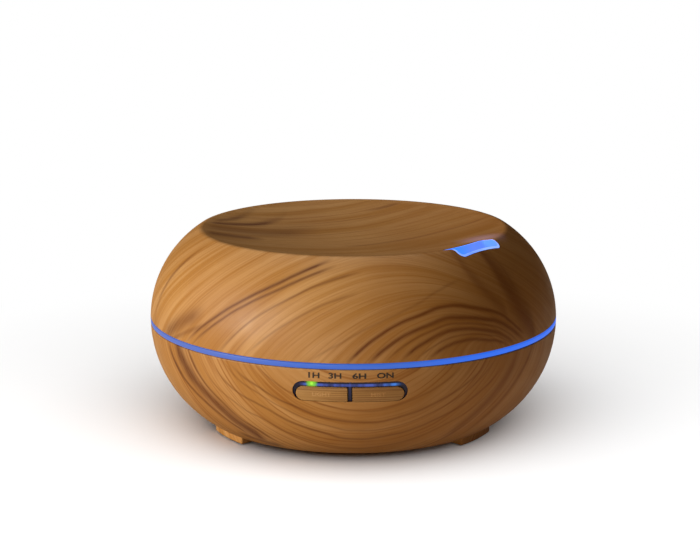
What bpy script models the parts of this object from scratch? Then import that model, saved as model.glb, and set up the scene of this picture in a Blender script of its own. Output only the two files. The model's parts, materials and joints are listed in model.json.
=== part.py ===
"""Ultrasonic essential oil diffuser with a wood-grain body, modelled as the assembly of its real pieces.

Units are metres. +Z is up, the front with the buttons faces -Y,
and the origin lies on the ground under the
body's axis. An azimuth is counted from the front, positive towards +X. Pieces that touch keep a gap of GAP.
"""

import math

import bmesh
import bpy
from mathutils import Matrix, Vector

# ---- Driving dimensions of the body ------------------------------------------------------------------
BODY_R = 0.084  # widest radius
BODY_Z = 0.0442  # height of the widest level
UPPER_ARC = 0.044  # radius of the side's arc above that level
LOWER_ARC = 0.0478  # radius of the side's arc below it
WALL = 0.0022  # wall of the cover and of the bowl
GAP = 0.0003  # clearance between touching pieces
LIP_R = 0.0624  # radius at which the rounded lip of the dish is highest
LIP_ROUND = 0.003  # rounding of that lip
DISH_DEPTH = 0.0068  # depth of the dish below the lip
RING_LOW, RING_HIGH = 0.0435, 0.0453  # light ring at the seam
RING_INNER_R = 0.077
SEGMENTS = 48  # facets round the large turned pieces

# ---- Mist outlet -------------------------------------------------------------------------------------
OUTLET_AZ = math.radians(50.5)
OUTLET_WIDTH = 0.0268  # along the lip
OUTLET_INNER_R, OUTLET_OUTER_R = 0.0549, 0.0661
OUTLET_CORNER = 0.003
OUTLET_WALL = 0.0012

# ---- Inner lid ---------------------------------------------------------------------------------------
LID_WALL = 0.0015
LID_ROOF_Z = 0.0695
LID_FLANGE_LOW, LID_FLANGE_HIGH = 0.0461, 0.0476
LID_SKIRT_R, LID_SKIRT_LOW = RING_INNER_R - GAP, 0.0437
LID_SCREW_R = 0.045
LID_SCREW_AZIMUTHS = [math.radians(a) for a in (-10, 110, 230)]

# ---- Bowl, feet and bottom cover ---------------------------------------------------------------------
BOWL_LOW = 0.0036  # underside of the bowl
BOWL_HIGH = RING_LOW - GAP
LEDGE_R, LEDGE_LOW, LEDGE_HIGH = 0.0765, 0.0392, 0.0406  # ledge that carries the tank
FLOOR_R, FLOOR_LOW, FLOOR_HIGH = 0.043, 0.0062, 0.0082  # floor ring behind the bottom cover
BASE_R, BASE_LOW, BASE_HIGH = 0.049, 0.0039, 0.0059  # bottom cover
BASE_SCREW_R = 0.0455
FOOT_AZIMUTHS = [math.radians(a) for a in (-56.25, 56.25, 123.75, -123.75)]
FOOT_HALF_ANGLE = math.radians(10.4)
FOOT_INNER_R, FOOT_OUTER_R, FOOT_LOW = 0.0505, 0.0610, 0.0005
PAD_CENTRE_R, PAD_R, PAD_HIGH = 0.056, 0.0036, 0.0011

# ---- Tank and ultrasonic disc ------------------------------------------------------------------------
TANK_WALL = 0.0018
TANK_FLOOR_LOW, TANK_FLOOR_HIGH = 0.0192, 0.0210
TANK_RIM_R, TANK_RIM_HIGH = 0.0676, 0.0475
FLANGE_LOW, FLANGE_HIGH = 0.0418, 0.0432
PIEZO_BOSS_R, PIEZO_BOSS_LOW = 0.017, 0.0170
PIEZO_HOLE_R = 0.0085
PIEZO_SCREW_R = 0.0148
TOWER_Y, TOWER_HIGH = 0.050, 0.0465
TOWER_SIZE = (0.026, 0.010)  # inner width and depth of the air tower

# ---- Button panel ------------------------------------------------------------------------------------
SLOT_HALF_WIDTH = 0.02145
SLOT_LOW, SLOT_HIGH = 0.0304, 0.0385
BUTTON_NEAR, BUTTON_FAR = 0.00095, 0.02015  # distances of a button's two ends from the middle
BUTTON_LOW, BUTTON_HIGH = 0.0306, 0.0362
BUTTON_MID_X, BUTTON_MID_Z = (BUTTON_NEAR + BUTTON_FAR) / 2, (BUTTON_LOW + BUTTON_HIGH) / 2
BEZEL_RECESS = 0.0006
BEZEL_FLANGE = (0.0025, 0.0039)  # depth of the bezel's rear flange below the body's surface
PANEL_HALF_ANGLE = math.radians(20)
BOARD_FRONT_Y, BOARD_BACK_Y = -0.0716, -0.0700
PANEL_SCREW_X = 0.0230
TIMER_LED_X = (-0.0146, -0.0050, 0.0047, 0.0141)
TIMER_LED_Z = 0.0376

# ---- Fan, boards and inlet ---------------------------------------------------------------------------
FAN_CENTRE = (0.0, 0.038)
FAN_SIZE, FAN_LOW, FAN_HIGH = 0.040, 0.0086, 0.0156
FAN_SCREW_OFFSET = 0.016
DUCT_HIGH = 0.0189
MAIN_BOARD_X, MAIN_BOARD_Y = 0.027, (-0.046, -0.020)
MAIN_BOARD_LOW, MAIN_BOARD_HIGH = 0.0088, 0.0104
LIGHT_BOARD_R, LIGHT_BOARD_Z = (0.022, 0.030), (0.0154, 0.0166)
LIGHT_BOARD_HALF_ANGLE = math.radians(110)
INLET_Z = 0.024
INLET_WALL_Y = 0.0765  # flat outer face of the wall that the inlet looks through
LEAD_R = 0.0007

# Holes, bosses and screws; each screw is given as head radius, head height, shank radius and shank length
BOSS_R = 0.0032
BOSS_HOLE_R = 0.0016
PIEZO_BORE_R = 0.0015
FAN_BORE_R = 0.0013
LID_SCREW = (0.0026, 0.0016, 0.00125, 0.0068)
BASE_SCREW = (0.0026, 0.0012, 0.00125, 0.0085)
PIEZO_SCREW = (0.0024, 0.0012, 0.00115, 0.0064)
PANEL_SCREW = (0.0017, 0.0010, 0.0008, 0.0048)
FAN_SCREW = (0.0020, 0.0010, 0.0009, 0.0078)

# Lid and tank: flange edge, shoulders of the lid, bends of the tank's wall, air channel and piezo seal
FLANGE_R = 0.0813
LID_SHOULDER = ((0.0755, 0.0560), (0.0705, 0.0670))
LID_SHOULDER_INNER = ((0.0692, 0.0663), (0.0740, 0.0557), (0.0752, 0.0470))
TANK_BEND_INNER = (0.0622, 0.0223)
TANK_BEND_OUTER = (0.0640, 0.0216)
TANK_FLOOR_R = 0.0597
TANK_LEAN = 0.001
TANK_LEAN_Z = 0.0380
TANK_WELL_Z = 0.0188
TOWER_WALL = 0.0016
CHANNEL_CORNER = 0.0024
GASKET_R = (0.0773, 0.0809)
SEAL_THICK = 0.0021
SEAL_LIP = 0.0010
CLAMP_R = 0.0173
CLAMP_THICK = 0.0014

# Panel: how far helpers reach in front of the body and behind the slot, and the levels of its curved plates
FRONT_REACH = -0.095
FRONT_DEPTH = -0.060
SLOT_DEPTH = -0.070
PLATE_LOW = 0.0275
PLATE_HIGH = 0.0390


# ---- Materials ---------------------------------------------------------------------------------------
def material(name, colour, roughness, metallic=0.0):
    """Principled material with a plain colour."""
    made = bpy.data.materials.new(name)
    made.use_nodes = True
    shader = made.node_tree.nodes["Principled BSDF"]
    shader.inputs["Base Color"].default_value = (*colour, 1.0)
    shader.inputs["Roughness"].default_value = roughness
    shader.inputs["Metallic"].default_value = metallic
    made.diffuse_color = (*colour, 1.0)
    return made


# ---- Outlines ----------------------------------------------------------------------------------------
def arc(centre, radius, start, end, steps):
    """Points on an arc from the start angle to the end angle, both included."""
    angles = [start + (end - start) * i / steps for i in range(steps + 1)]
    return [(centre[0] + radius * math.cos(a), centre[1] + radius * math.sin(a)) for a in angles]


def rounded_box(x_low, x_high, y_low, y_high, corners, steps=4):
    """Rectangle with a rounding for each corner: low-low, high-low, high-high and low-high."""
    points = []
    quarter = math.pi / 2
    places = [(x_low, y_low), (x_high, y_low), (x_high, y_high), (x_low, y_high)]
    for i, ((x, y), r) in enumerate(zip(places, corners)):
        if r == 0:
            points.append((x, y))
            continue
        centre = (x + (r if x == x_low else -r), y + (r if y == y_low else -r))
        points += arc(centre, r, math.pi + i * quarter, math.pi + (i + 1) * quarter, steps)
    return points


def circle(radius, steps, centre=(0.0, 0.0)):
    """Regular polygon for a round hole or disc."""
    return arc(centre, radius, 0, math.tau * (steps - 1) / steps, steps - 1)


def side_arc(z_from, z_to, steps, inset=0.0):
    """Points (r, z) along the body's side, set in by inset, on the arc that holds both heights."""
    bend = UPPER_ARC if max(z_from, z_to) > BODY_Z else LOWER_ARC
    start, end = (math.asin((z - BODY_Z) / (bend - inset)) for z in (z_from, z_to))
    return arc((BODY_R - bend, BODY_Z), bend - inset, start, end, steps)


def polar(radius, azimuth):
    """Point (x, y) at an azimuth counted from the front."""
    return radius * math.sin(azimuth), -radius * math.cos(azimuth)


# ---- Solids ------------------------------------------------------------------------------------------
def new_object(name, bm, surface):
    """Object from a closed bmesh, faces turned out, round faces shaded smooth."""
    bmesh.ops.recalc_face_normals(bm, faces=bm.faces)
    mesh = bpy.data.meshes.new(name)
    bm.to_mesh(mesh)
    bm.free()
    mesh.shade_smooth()
    mesh.set_sharp_from_angle(angle=math.radians(35))
    if surface:
        mesh.materials.append(surface)
    made = bpy.data.objects.new(name, mesh)
    bpy.context.scene.collection.objects.link(made)
    return made


def turned(name, outline, surface=None, segments=SEGMENTS, start=0.0, turn=math.tau):
    """Solid of revolution about Z. The outline is closed, or has both of its ends on the axis."""
    bm = bmesh.new()
    verts = [bm.verts.new((r * math.cos(start), r * math.sin(start), z)) for r, z in outline]
    edges = [bm.edges.new(pair) for pair in zip(verts, verts[1:])]
    if outline[0][0] > 0:
        edges.append(bm.edges.new((verts[-1], verts[0])))
    bmesh.ops.spin(bm, geom=verts + edges, cent=(0, 0, 0), axis=(0, 0, 1), angle=turn, steps=segments)
    bmesh.ops.remove_doubles(bm, verts=bm.verts, dist=1e-6)
    bmesh.ops.holes_fill(bm, edges=[e for e in bm.edges if e.is_boundary], sides=0)
    return new_object(name, bm, surface)


def prism(name, outline, low, high, surface=None, upright=False):
    """Outline in XY extruded along Z from low to high, or, upright, an outline in XZ extruded along Y."""
    bm = bmesh.new()
    lower = [bm.verts.new((a, low, b) if upright else (a, b, low)) for a, b in outline]
    face = bm.faces.new(lower)
    lifted = bmesh.ops.extrude_face_region(bm, geom=[face])["geom"]
    step = (0, high - low, 0) if upright else (0, 0, high - low)
    bmesh.ops.translate(bm, verts=[v for v in lifted if isinstance(v, bmesh.types.BMVert)], vec=step)
    return new_object(name, bm, surface)


def box(name, x_range, y_range, z_range, surface=None):
    """Rectangular block."""
    return prism(name, rounded_box(*x_range, *y_range, (0, 0, 0, 0)), *z_range, surface)


def combine(target, tool, operation="DIFFERENCE"):
    """Boolean of the target with a helper that isn't a piece of its own."""
    tool.hide_render = True
    tool.display_type = "WIRE"
    modifier = target.modifiers.new(tool.name, "BOOLEAN")
    modifier.operation = operation
    modifier.object = tool
    return target


def place(piece, x=0.0, y=0.0, z=0.0, azimuth=0.0):
    """Set a piece at a point, turned about Z."""
    piece.location = (x, y, z)
    piece.rotation_euler = (0, 0, azimuth)
    return piece


def rebase(piece, origin):
    """Move a piece's origin to a point on its joint's axis without moving the piece."""
    piece.data.transform(Matrix.Translation(-Vector(origin)))
    piece.location = Vector(origin)
    return piece


def hang_on(parent, *pieces):
    """Parent pieces to another object and keep them where they are."""
    for piece in pieces:
        piece.parent = parent
        piece.matrix_parent_inverse = Matrix.Translation(-parent.location)


def screw(name, surface, head_r, head_h, shank_r, shank_length):
    """Pan-head screw along +Z with its head's outer face at z = 0."""
    tip = head_h + shank_length
    outline = [
        (0, 0), (head_r * 0.8, 0), (head_r, head_h * 0.4), (head_r, head_h), (shank_r, head_h),
        (shank_r, tip - shank_r), (0, tip),
    ]
    return turned(name, outline, surface, segments=8)


def smooth_route(points, steps=2):
    """Points of a Catmull-Rom curve through the route's points."""
    padded = [points[0], *points, points[-1]]
    route = []
    for p0, p1, p2, p3 in zip(padded, padded[1:], padded[2:], padded[3:]):
        a, b, c, d = (Vector(p) for p in (p0, p1, p2, p3))
        for i in range(steps):
            t = i / steps
            route.append(0.5 * (2 * b + (c - a) * t + (2 * a - 5 * b + 4 * c - d) * t**2
                                + (3 * b - 3 * c + d - a) * t**3))
    return [*route, Vector(points[-1])]


def lead(name, route, surface):
    """Insulated wire pair along a route."""
    curve = bpy.data.curves.new(name, "CURVE")
    curve.dimensions = "3D"
    curve.bevel_depth = LEAD_R
    curve.bevel_resolution = 2
    curve.use_fill_caps = True
    points = smooth_route(route)
    spline = curve.splines.new("POLY")
    spline.points.add(len(points) - 1)
    for target, point in zip(spline.points, points):
        target.co = (*point, 1.0)
    curve.materials.append(surface)
    made = bpy.data.objects.new(name, curve)
    bpy.context.scene.collection.objects.link(made)
    return made


# ---- Cover: outer shell, mist outlet, inner lid ------------------------------------------------------
def dish_geometry():
    """Lip centre height, sphere radius of the dish and the angle at which lip and dish meet."""
    lip_z = BODY_Z + math.sqrt((UPPER_ARC - LIP_ROUND) ** 2 - (LIP_R - BODY_R + UPPER_ARC) ** 2)
    rise = DISH_DEPTH - LIP_ROUND
    sphere = (LIP_R**2 + rise**2 - LIP_ROUND**2) / (2 * (rise + LIP_ROUND))
    return lip_z, sphere, math.atan2(sphere - rise, -LIP_R)


def cover_skin(inset, side_steps, lip_steps, dish_steps):
    """Points from the cover's rim over the lip to the middle of the dish, set in by inset."""
    lip_z, sphere, meet = dish_geometry()
    lip_start = math.atan2(lip_z - BODY_Z, LIP_R - BODY_R + UPPER_ARC)
    reach = UPPER_ARC - inset
    start = math.asin((RING_HIGH + GAP - BODY_Z) / reach)
    side = arc((BODY_R - UPPER_ARC, BODY_Z), reach, start, lip_start, side_steps)
    lip = arc((LIP_R, lip_z), LIP_ROUND - inset, lip_start, meet, lip_steps)
    centre_z = lip_z + LIP_ROUND - DISH_DEPTH + sphere
    dish = arc((0, centre_z), sphere + inset, meet - math.pi, -math.pi / 2, dish_steps)
    return side + lip[1:] + [*dish[1:-1], (0.0, dish[-1][1])]


def outlet_outline(shrink):
    """Outline of the mist outlet, at azimuth 0, made smaller all round by shrink."""
    half, corner = OUTLET_WIDTH / 2 - shrink, OUTLET_CORNER - shrink
    return rounded_box(-half, half, -OUTLET_OUTER_R + shrink, -OUTLET_INNER_R - shrink, [corner] * 4, 3)


def build_cover(surfaces):
    """Wood-grain outer shell with three screw bosses under the dish."""
    outline = cover_skin(0.0, 9, 3, 4) + cover_skin(WALL, 5, 1, 3)[::-1]
    cover = turned("upper_cover", outline, surfaces["wood"])
    cutter = prism("outlet_cutter", outlet_outline(0.0), 0.070, 0.090)
    combine(cover, place(cutter, azimuth=OUTLET_AZ))
    for i, azimuth in enumerate(LID_SCREW_AZIMUTHS):
        x, y = polar(LID_SCREW_R, azimuth)
        boss = prism(f"cover_boss_{i}", circle(BOSS_R, 10), LID_ROOF_Z + GAP, 0.0770)
        combine(cover, place(boss, x, y), "UNION")
        hole = prism(f"cover_boss_hole_{i}", circle(BOSS_HOLE_R, 8), LID_ROOF_Z, 0.0756)
        combine(cover, place(hole, x, y))
    return cover


def build_outlet(surfaces):
    """Translucent tube whose upper edge follows the cover's lip."""
    outlet = prism("mist_outlet", outlet_outline(GAP), LID_ROOF_Z + GAP, 0.088, surfaces["translucent"])
    place(outlet, azimuth=OUTLET_AZ)
    solid = cover_skin(0.0001, 9, 3, 4)
    envelope = turned("outlet_envelope", [(0.0, solid[0][1]), *solid])
    combine(outlet, envelope, "INTERSECT")
    bore = prism("outlet_bore", outlet_outline(GAP + OUTLET_WALL), 0.068, 0.090)
    return combine(outlet, place(bore, azimuth=OUTLET_AZ))


def build_lid(surfaces):
    """White inner lid: skirt in the light ring, flange under the cover's rim, dome with the mist opening."""
    skin = [
        (LID_SKIRT_R, LID_SKIRT_LOW), (LID_SKIRT_R, LID_FLANGE_LOW), (FLANGE_R, LID_FLANGE_LOW),
        (FLANGE_R, LID_FLANGE_HIGH), (LID_SKIRT_R, LID_FLANGE_HIGH), *LID_SHOULDER,
        (0.0675, LID_ROOF_Z), (0.0, LID_ROOF_Z),
    ]
    underside = [
        (0.0, LID_ROOF_Z - LID_WALL), (0.0666,
                                       LID_ROOF_Z - LID_WALL), *LID_SHOULDER_INNER,
                                       (LID_SKIRT_R - LID_WALL, LID_SKIRT_LOW),
    ]
    lid = turned("inner_lid", underside + skin, surfaces["white"])
    opening = prism("lid_opening", outlet_outline(GAP + OUTLET_WALL), 0.066, 0.072)
    combine(lid, place(opening, azimuth=OUTLET_AZ))
    screws = []
    for i, azimuth in enumerate(LID_SCREW_AZIMUTHS, start=1):
        x, y = polar(LID_SCREW_R, azimuth)
        hole = prism(f"lid_hole_{i}", circle(BOSS_HOLE_R, 8), 0.066, 0.072)
        combine(lid, place(hole, x, y))
        fixing = screw(f"lid_screw_{i}", surfaces["steel"], *LID_SCREW)
        screws.append(place(fixing, x, y, LID_ROOF_Z - LID_WALL - GAP - LID_SCREW[1]))
    return [lid, *screws]


# ---- Base: bowl, ring, bottom cover, pads ------------------------------------------------------------
def build_bowl(surfaces):
    """Wood-grain bowl with four moulded feet, a ledge for the tank, a button slot and an inlet recess."""
    outer = side_arc(BOWL_HIGH, BOWL_LOW, 9)
    inner_low = side_arc(FLOOR_HIGH, LEDGE_LOW, 5, WALL)
    inner_high = side_arc(LEDGE_HIGH, BOWL_HIGH, 1, WALL)
    outline = [
        *outer, (BASE_R + GAP, BOWL_LOW), (BASE_R + GAP, FLOOR_LOW), (FLOOR_R, FLOOR_LOW),
        (FLOOR_R, FLOOR_HIGH),
        *inner_low, (LEDGE_R, LEDGE_LOW), (LEDGE_R, LEDGE_HIGH), *inner_high,
    ]
    bowl = turned("lower_bowl", outline, surfaces["wood"])
    for i, azimuth in enumerate(FOOT_AZIMUTHS):
        section = [(FOOT_INNER_R, FOOT_LOW), (FOOT_OUTER_R, FOOT_LOW), (FOOT_OUTER_R, 0.0050),
                   (FOOT_INNER_R, 0.0050)]
        foot = turned(f"foot_{i}", section, segments=3, start=-math.pi / 2 + azimuth - FOOT_HALF_ANGLE,
                      turn=2 * FOOT_HALF_ANGLE)
        combine(bowl, foot, "UNION")
        recess = prism(f"pad_recess_{i}", circle(PAD_R + GAP, 12), -0.001, PAD_HIGH + GAP)
        combine(bowl, place(recess, *polar(PAD_CENTRE_R, azimuth)))
    for i in range(4):
        x, y = polar(BASE_SCREW_R, math.pi / 4 + i * math.pi / 2)
        boss = prism(f"bowl_boss_{i}", circle(BOSS_R, 10), FLOOR_LOW + 0.0004, 0.0140)
        combine(bowl, place(boss, x, y), "UNION")
        hole = prism(f"bowl_boss_hole_{i}", circle(BOSS_HOLE_R, 8), 0.0, 0.0128)
        combine(bowl, place(hole, x, y))
    half = SLOT_HALF_WIDTH
    corner = (SLOT_HIGH - SLOT_LOW) / 2 - 1e-5
    slot = rounded_box(-half, half, SLOT_LOW, SLOT_HIGH, [corner] * 4)
    combine(bowl, prism("slot_cutter", slot, FRONT_REACH, SLOT_DEPTH, upright=True))
    build_inlet_recess(bowl)
    return bowl


def build_inlet_recess(bowl):
    """Round recess in the back wall with a flat floor for the power inlet."""
    boss = prism("inlet_boss", circle(0.0080, 20, (0.0, INLET_Z)), INLET_WALL_Y - 0.002, 0.095,
                 upright=True)
    inside = [(0.0, FLOOR_HIGH), *side_arc(FLOOR_HIGH, LEDGE_LOW, 6, WALL / 2), (0.0, LEDGE_LOW)]
    combine(boss, turned("inlet_envelope", inside), "INTERSECT")
    combine(bowl, boss, "UNION")
    pocket = prism("inlet_pocket", circle(0.0063, 20, (0.0, INLET_Z)), INLET_WALL_Y, 0.095,
                   upright=True)
    combine(bowl, pocket)
    hole = prism("inlet_hole", circle(0.0043, 20, (0.0, INLET_Z)), 0.070, 0.080, upright=True)
    combine(bowl, hole)


def build_bottom(surfaces):
    """Bottom cover with an intake grille, posts for the fan and the main board, four screws and four pads."""
    plate = prism("bottom_cover", circle(BASE_R, SEGMENTS), BASE_LOW, BASE_HIGH, surfaces["black"])
    grille_r, pitch = 0.013, 0.0042
    for i in range(-2, 3):
        half = math.sqrt(grille_r**2 - (i * pitch) ** 2)
        bar = rounded_box(i * pitch - 0.0012, i * pitch + 0.0012, -half, half, [0.0011] * 4, 2)
        combine(plate, place(prism(f"grille_{i + 2}", bar, 0.0, 0.010), 0.0, 0.029))
    posts = [(side * FAN_SCREW_OFFSET, FAN_CENTRE[1] - FAN_SCREW_OFFSET, FAN_LOW) for side in (-1, 1)]
    posts += [(side * x, y, MAIN_BOARD_LOW) for side in (-1, 1) for x,
              y in ((0.018, -0.035), (0.023, -0.0235))]
    for i, (x, y, top) in enumerate(posts):
        post = prism(f"post_{i}", circle(0.0025, 8), BASE_LOW + 0.0005, top - GAP)
        combine(plate, place(post, x, y), "UNION")
    for i in range(2):
        hole = prism(f"fan_post_hole_{i}", circle(FAN_BORE_R, 8), BASE_LOW + 0.001, 0.010)
        combine(plate, place(hole, *posts[i][:2]))
    pieces = [plate]
    for i in range(4):
        x, y = polar(BASE_SCREW_R, math.pi / 4 + i * math.pi / 2)
        combine(plate, place(prism(f"base_hole_{i}", circle(BOSS_HOLE_R, 8), 0.0, 0.010), x, y))
        fixing = screw(f"base_screw_{i + 1}", surfaces["steel"], *BASE_SCREW)
        pieces.append(place(fixing, x, y, BASE_LOW - GAP - BASE_SCREW[1]))
    for i, azimuth in enumerate(FOOT_AZIMUTHS):
        outline = [(0.0, 0.0), (PAD_R - 0.0003, 0.0), (PAD_R, 0.0003), (PAD_R, PAD_HIGH), (0.0, PAD_HIGH)]
        pad = turned(f"foot_pad_{i + 1}", outline, surfaces["rubber"], segments=12)
        pieces.append(place(pad, *polar(PAD_CENTRE_R, azimuth)))
    return pieces


def build_ring(surfaces):
    """Translucent light ring at the seam."""
    outline = [(BODY_R, RING_LOW), (BODY_R, RING_HIGH), (RING_INNER_R, RING_HIGH),
               (RING_INNER_R, RING_LOW)]
    return turned("light_ring", outline, surfaces["glow"])


# ---- Tank and ultrasonic disc ------------------------------------------------------------------------
def build_tank(surfaces):
    """Water tank with a wide flange, a splash rim, a boss for the ultrasonic disc and an air tower."""
    inner_r = TANK_RIM_R - TANK_WALL
    outline = [
        (FLANGE_R, FLANGE_LOW), (FLANGE_R, FLANGE_HIGH), (TANK_RIM_R, FLANGE_HIGH),
        (TANK_RIM_R, TANK_RIM_HIGH),
        (inner_r, TANK_RIM_HIGH), (inner_r - TANK_LEAN, TANK_LEAN_Z), TANK_BEND_INNER,
        (TANK_FLOOR_R, TANK_FLOOR_HIGH),
        (0.0150, TANK_FLOOR_HIGH), (0.0120, TANK_WELL_Z), (PIEZO_HOLE_R, TANK_WELL_Z),
        (PIEZO_HOLE_R, PIEZO_BOSS_LOW),
        (PIEZO_BOSS_R, PIEZO_BOSS_LOW), (PIEZO_BOSS_R, TANK_FLOOR_LOW), (0.0608, TANK_FLOOR_LOW),
        TANK_BEND_OUTER, (TANK_RIM_R - TANK_LEAN, TANK_LEAN_Z), (TANK_RIM_R, FLANGE_LOW),
    ]
    tank = turned("water_tank", outline, surfaces["tank"])
    width, depth = TOWER_SIZE
    half_x, half_y = width / 2 + TOWER_WALL, depth / 2 + TOWER_WALL
    tower = rounded_box(-half_x, half_x, -half_y, half_y, [CHANNEL_CORNER + TOWER_WALL] * 4)
    channel = rounded_box(-width / 2, width / 2, -depth / 2, depth / 2, [CHANNEL_CORNER] * 4)
    combine(tank, place(prism("tower", tower, 0.0200, TOWER_HIGH), 0.0, TOWER_Y), "UNION")
    combine(tank, place(prism("tower_channel", channel, 0.0180, 0.0500), 0.0, TOWER_Y))
    for i in range(3):
        x, y = polar(PIEZO_SCREW_R, i * math.tau / 3)
        combine(tank, place(prism(f"piezo_boss_hole_{i}", circle(PIEZO_BORE_R, 8), 0.0165, 0.0197), x,
                            y))
    gasket = [(GASKET_R[0], LEDGE_HIGH + GAP), (GASKET_R[1], LEDGE_HIGH + GAP),
              (GASKET_R[1], FLANGE_LOW - GAP),
              (GASKET_R[0], FLANGE_LOW - GAP)]
    return [tank, turned("tank_gasket", gasket, surfaces["silicone"])]


def build_piezo(surfaces):
    """Ultrasonic disc in a stepped silicone seal, held by a clamp plate and three screws."""
    top = PIEZO_BOSS_LOW - GAP
    seat = top - SEAL_LIP
    seal = [(0.0078, top), (0.0120, top), (0.0120, top - SEAL_THICK), (0.0103, top - SEAL_THICK),
            (0.0103, seat), (0.0078, seat)]
    pieces = [turned("piezo_seal", seal, surfaces["silicone"], segments=24)]
    disc = circle(0.0100, 24)
    pieces.append(prism("piezo_disc", disc, top - SEAL_THICK, seat - GAP, surfaces["brass"]))
    clamp_high = top - SEAL_THICK - GAP
    clamp = prism("piezo_clamp", circle(CLAMP_R, 24), clamp_high - CLAMP_THICK, clamp_high,
                  surfaces["black"])
    combine(clamp, prism("clamp_opening", circle(0.0065, 20), 0.010, 0.016))
    pieces.append(clamp)
    for i in range(3):
        x, y = polar(PIEZO_SCREW_R, i * math.tau / 3)
        combine(clamp, place(prism(f"clamp_hole_{i}", circle(PIEZO_BORE_R, 8), 0.010, 0.016), x, y))
        fixing = screw(f"piezo_screw_{i + 1}", surfaces["steel"], *PIEZO_SCREW)
        pieces.append(place(fixing, x, y, clamp_high - CLAMP_THICK - GAP - PIEZO_SCREW[1]))
    return pieces


# ---- Button panel ------------------------------------------------------------------------------------
def front_plate(name, depths, surface=None):
    """Curved plate behind the body's front surface, between two depths below it."""
    low, high = PLATE_LOW, PLATE_HIGH
    near = side_arc(low, high, 4, depths[0])
    far = side_arc(low, high, 4, depths[1])[::-1]
    return turned(name, near + far, surface, segments=16, start=-math.pi / 2 - PANEL_HALF_ANGLE,
                  turn=2 * PANEL_HALF_ANGLE)


def button_outline(side, grow, top_grow):
    """D-shaped outline of a button in XZ; side is -1 for the left one and 1 for the right one."""
    near, far = BUTTON_NEAR - min(grow, 0.0005), BUTTON_FAR + grow
    low, high = BUTTON_LOW - grow, BUTTON_HIGH + top_grow
    tight, full = 0.0003, (high - low) / 2 - 1e-5
    if side > 0:
        return rounded_box(near, far, low, high, (tight, full, full, tight))
    return rounded_box(-far, -near, low, high, (full, tight, tight, full))


def build_bezel(surfaces):
    """Smoky frame round the buttons with a rear flange and two legs that carry the button board."""
    bezel = front_plate("panel_bezel", (BEZEL_RECESS, 0.0036), surfaces["smoke"])
    half, corner = SLOT_HALF_WIDTH - GAP, (SLOT_HIGH - SLOT_LOW) / 2 - GAP - 1e-5
    face = rounded_box(-half, half, SLOT_LOW + GAP, SLOT_HIGH - GAP, [corner] * 4)
    combine(bezel, prism("bezel_face", face, FRONT_REACH, FRONT_DEPTH, upright=True), "INTERSECT")
    flange = front_plate("bezel_flange", BEZEL_FLANGE)
    plate = rounded_box(-0.0252, 0.0252, 0.0284, 0.0388, [0.002] * 4)
    combine(flange, prism("bezel_flange_outline", plate, FRONT_REACH, FRONT_DEPTH, upright=True),
            "INTERSECT")
    combine(bezel, flange, "UNION")
    for side in (-1, 1):
        opening = prism(f"button_opening_{side}", button_outline(side, GAP, GAP), FRONT_REACH,
                        FRONT_DEPTH, upright=True)
        combine(bezel, opening)
        leg = prism(f"bezel_leg_{side}", circle(0.0017, 12, (side * PANEL_SCREW_X, BUTTON_MID_Z)),
                    -0.0757,
                    BOARD_FRONT_Y - GAP, upright=True)
        combine(bezel, leg, "UNION")
        hole = prism(f"bezel_leg_hole_{side}", circle(0.0011, 10, (side * PANEL_SCREW_X, BUTTON_MID_Z)),
                     -0.0755,
                     -0.0700, upright=True)
        combine(bezel, hole)
    return bezel


def build_button(name, side, surfaces):
    """Button cap with a rear flange behind the bezel and a post that meets its switch."""
    cap = front_plate(name, (0.0, 0.0046), surfaces["wood"])
    combine(cap, prism(f"{name}_face", button_outline(side, 0.0, 0.0), FRONT_REACH, FRONT_DEPTH,
                       upright=True), "INTERSECT")
    flange = front_plate(f"{name}_flange", (BEZEL_FLANGE[1] + GAP, 0.0052))
    skirt = prism(f"{name}_flange_outline", button_outline(side, 0.0008, 0.0), FRONT_REACH,
                  FRONT_DEPTH, upright=True)
    combine(flange, skirt, "INTERSECT")
    combine(cap, flange, "UNION")
    post = prism(f"{name}_post", circle(0.0018, 12, (side * BUTTON_MID_X, BUTTON_MID_Z)), -0.0790,
                 -0.0756, upright=True)
    combine(cap, post, "UNION")
    origin = (side * BUTTON_MID_X, -0.080, BUTTON_MID_Z)
    for piece in (cap, flange, post):
        rebase(piece, origin)
    return cap


def build_switch(name, side, surfaces):
    """Tact switch on the button board with a sliding stem."""
    x, z, half = side * BUTTON_MID_X, BUTTON_MID_Z, 0.0030
    body = prism(f"{name}_switch", rounded_box(x - half, x + half, z - half, z + half, (0, 0, 0, 0)),
                 -0.0745,
                 BOARD_FRONT_Y - GAP, surfaces["black"], upright=True)
    combine(body, prism(f"{name}_switch_bore", circle(0.0019, 12, (x, z)), -0.0780, -0.0724,
                        upright=True))
    stem = prism(f"{name}_stem", circle(0.0016, 12, (x, z)), -0.0753, -0.0732, surfaces["white"],
                 upright=True)
    return body, rebase(stem, (x, -0.075, z))


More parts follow.
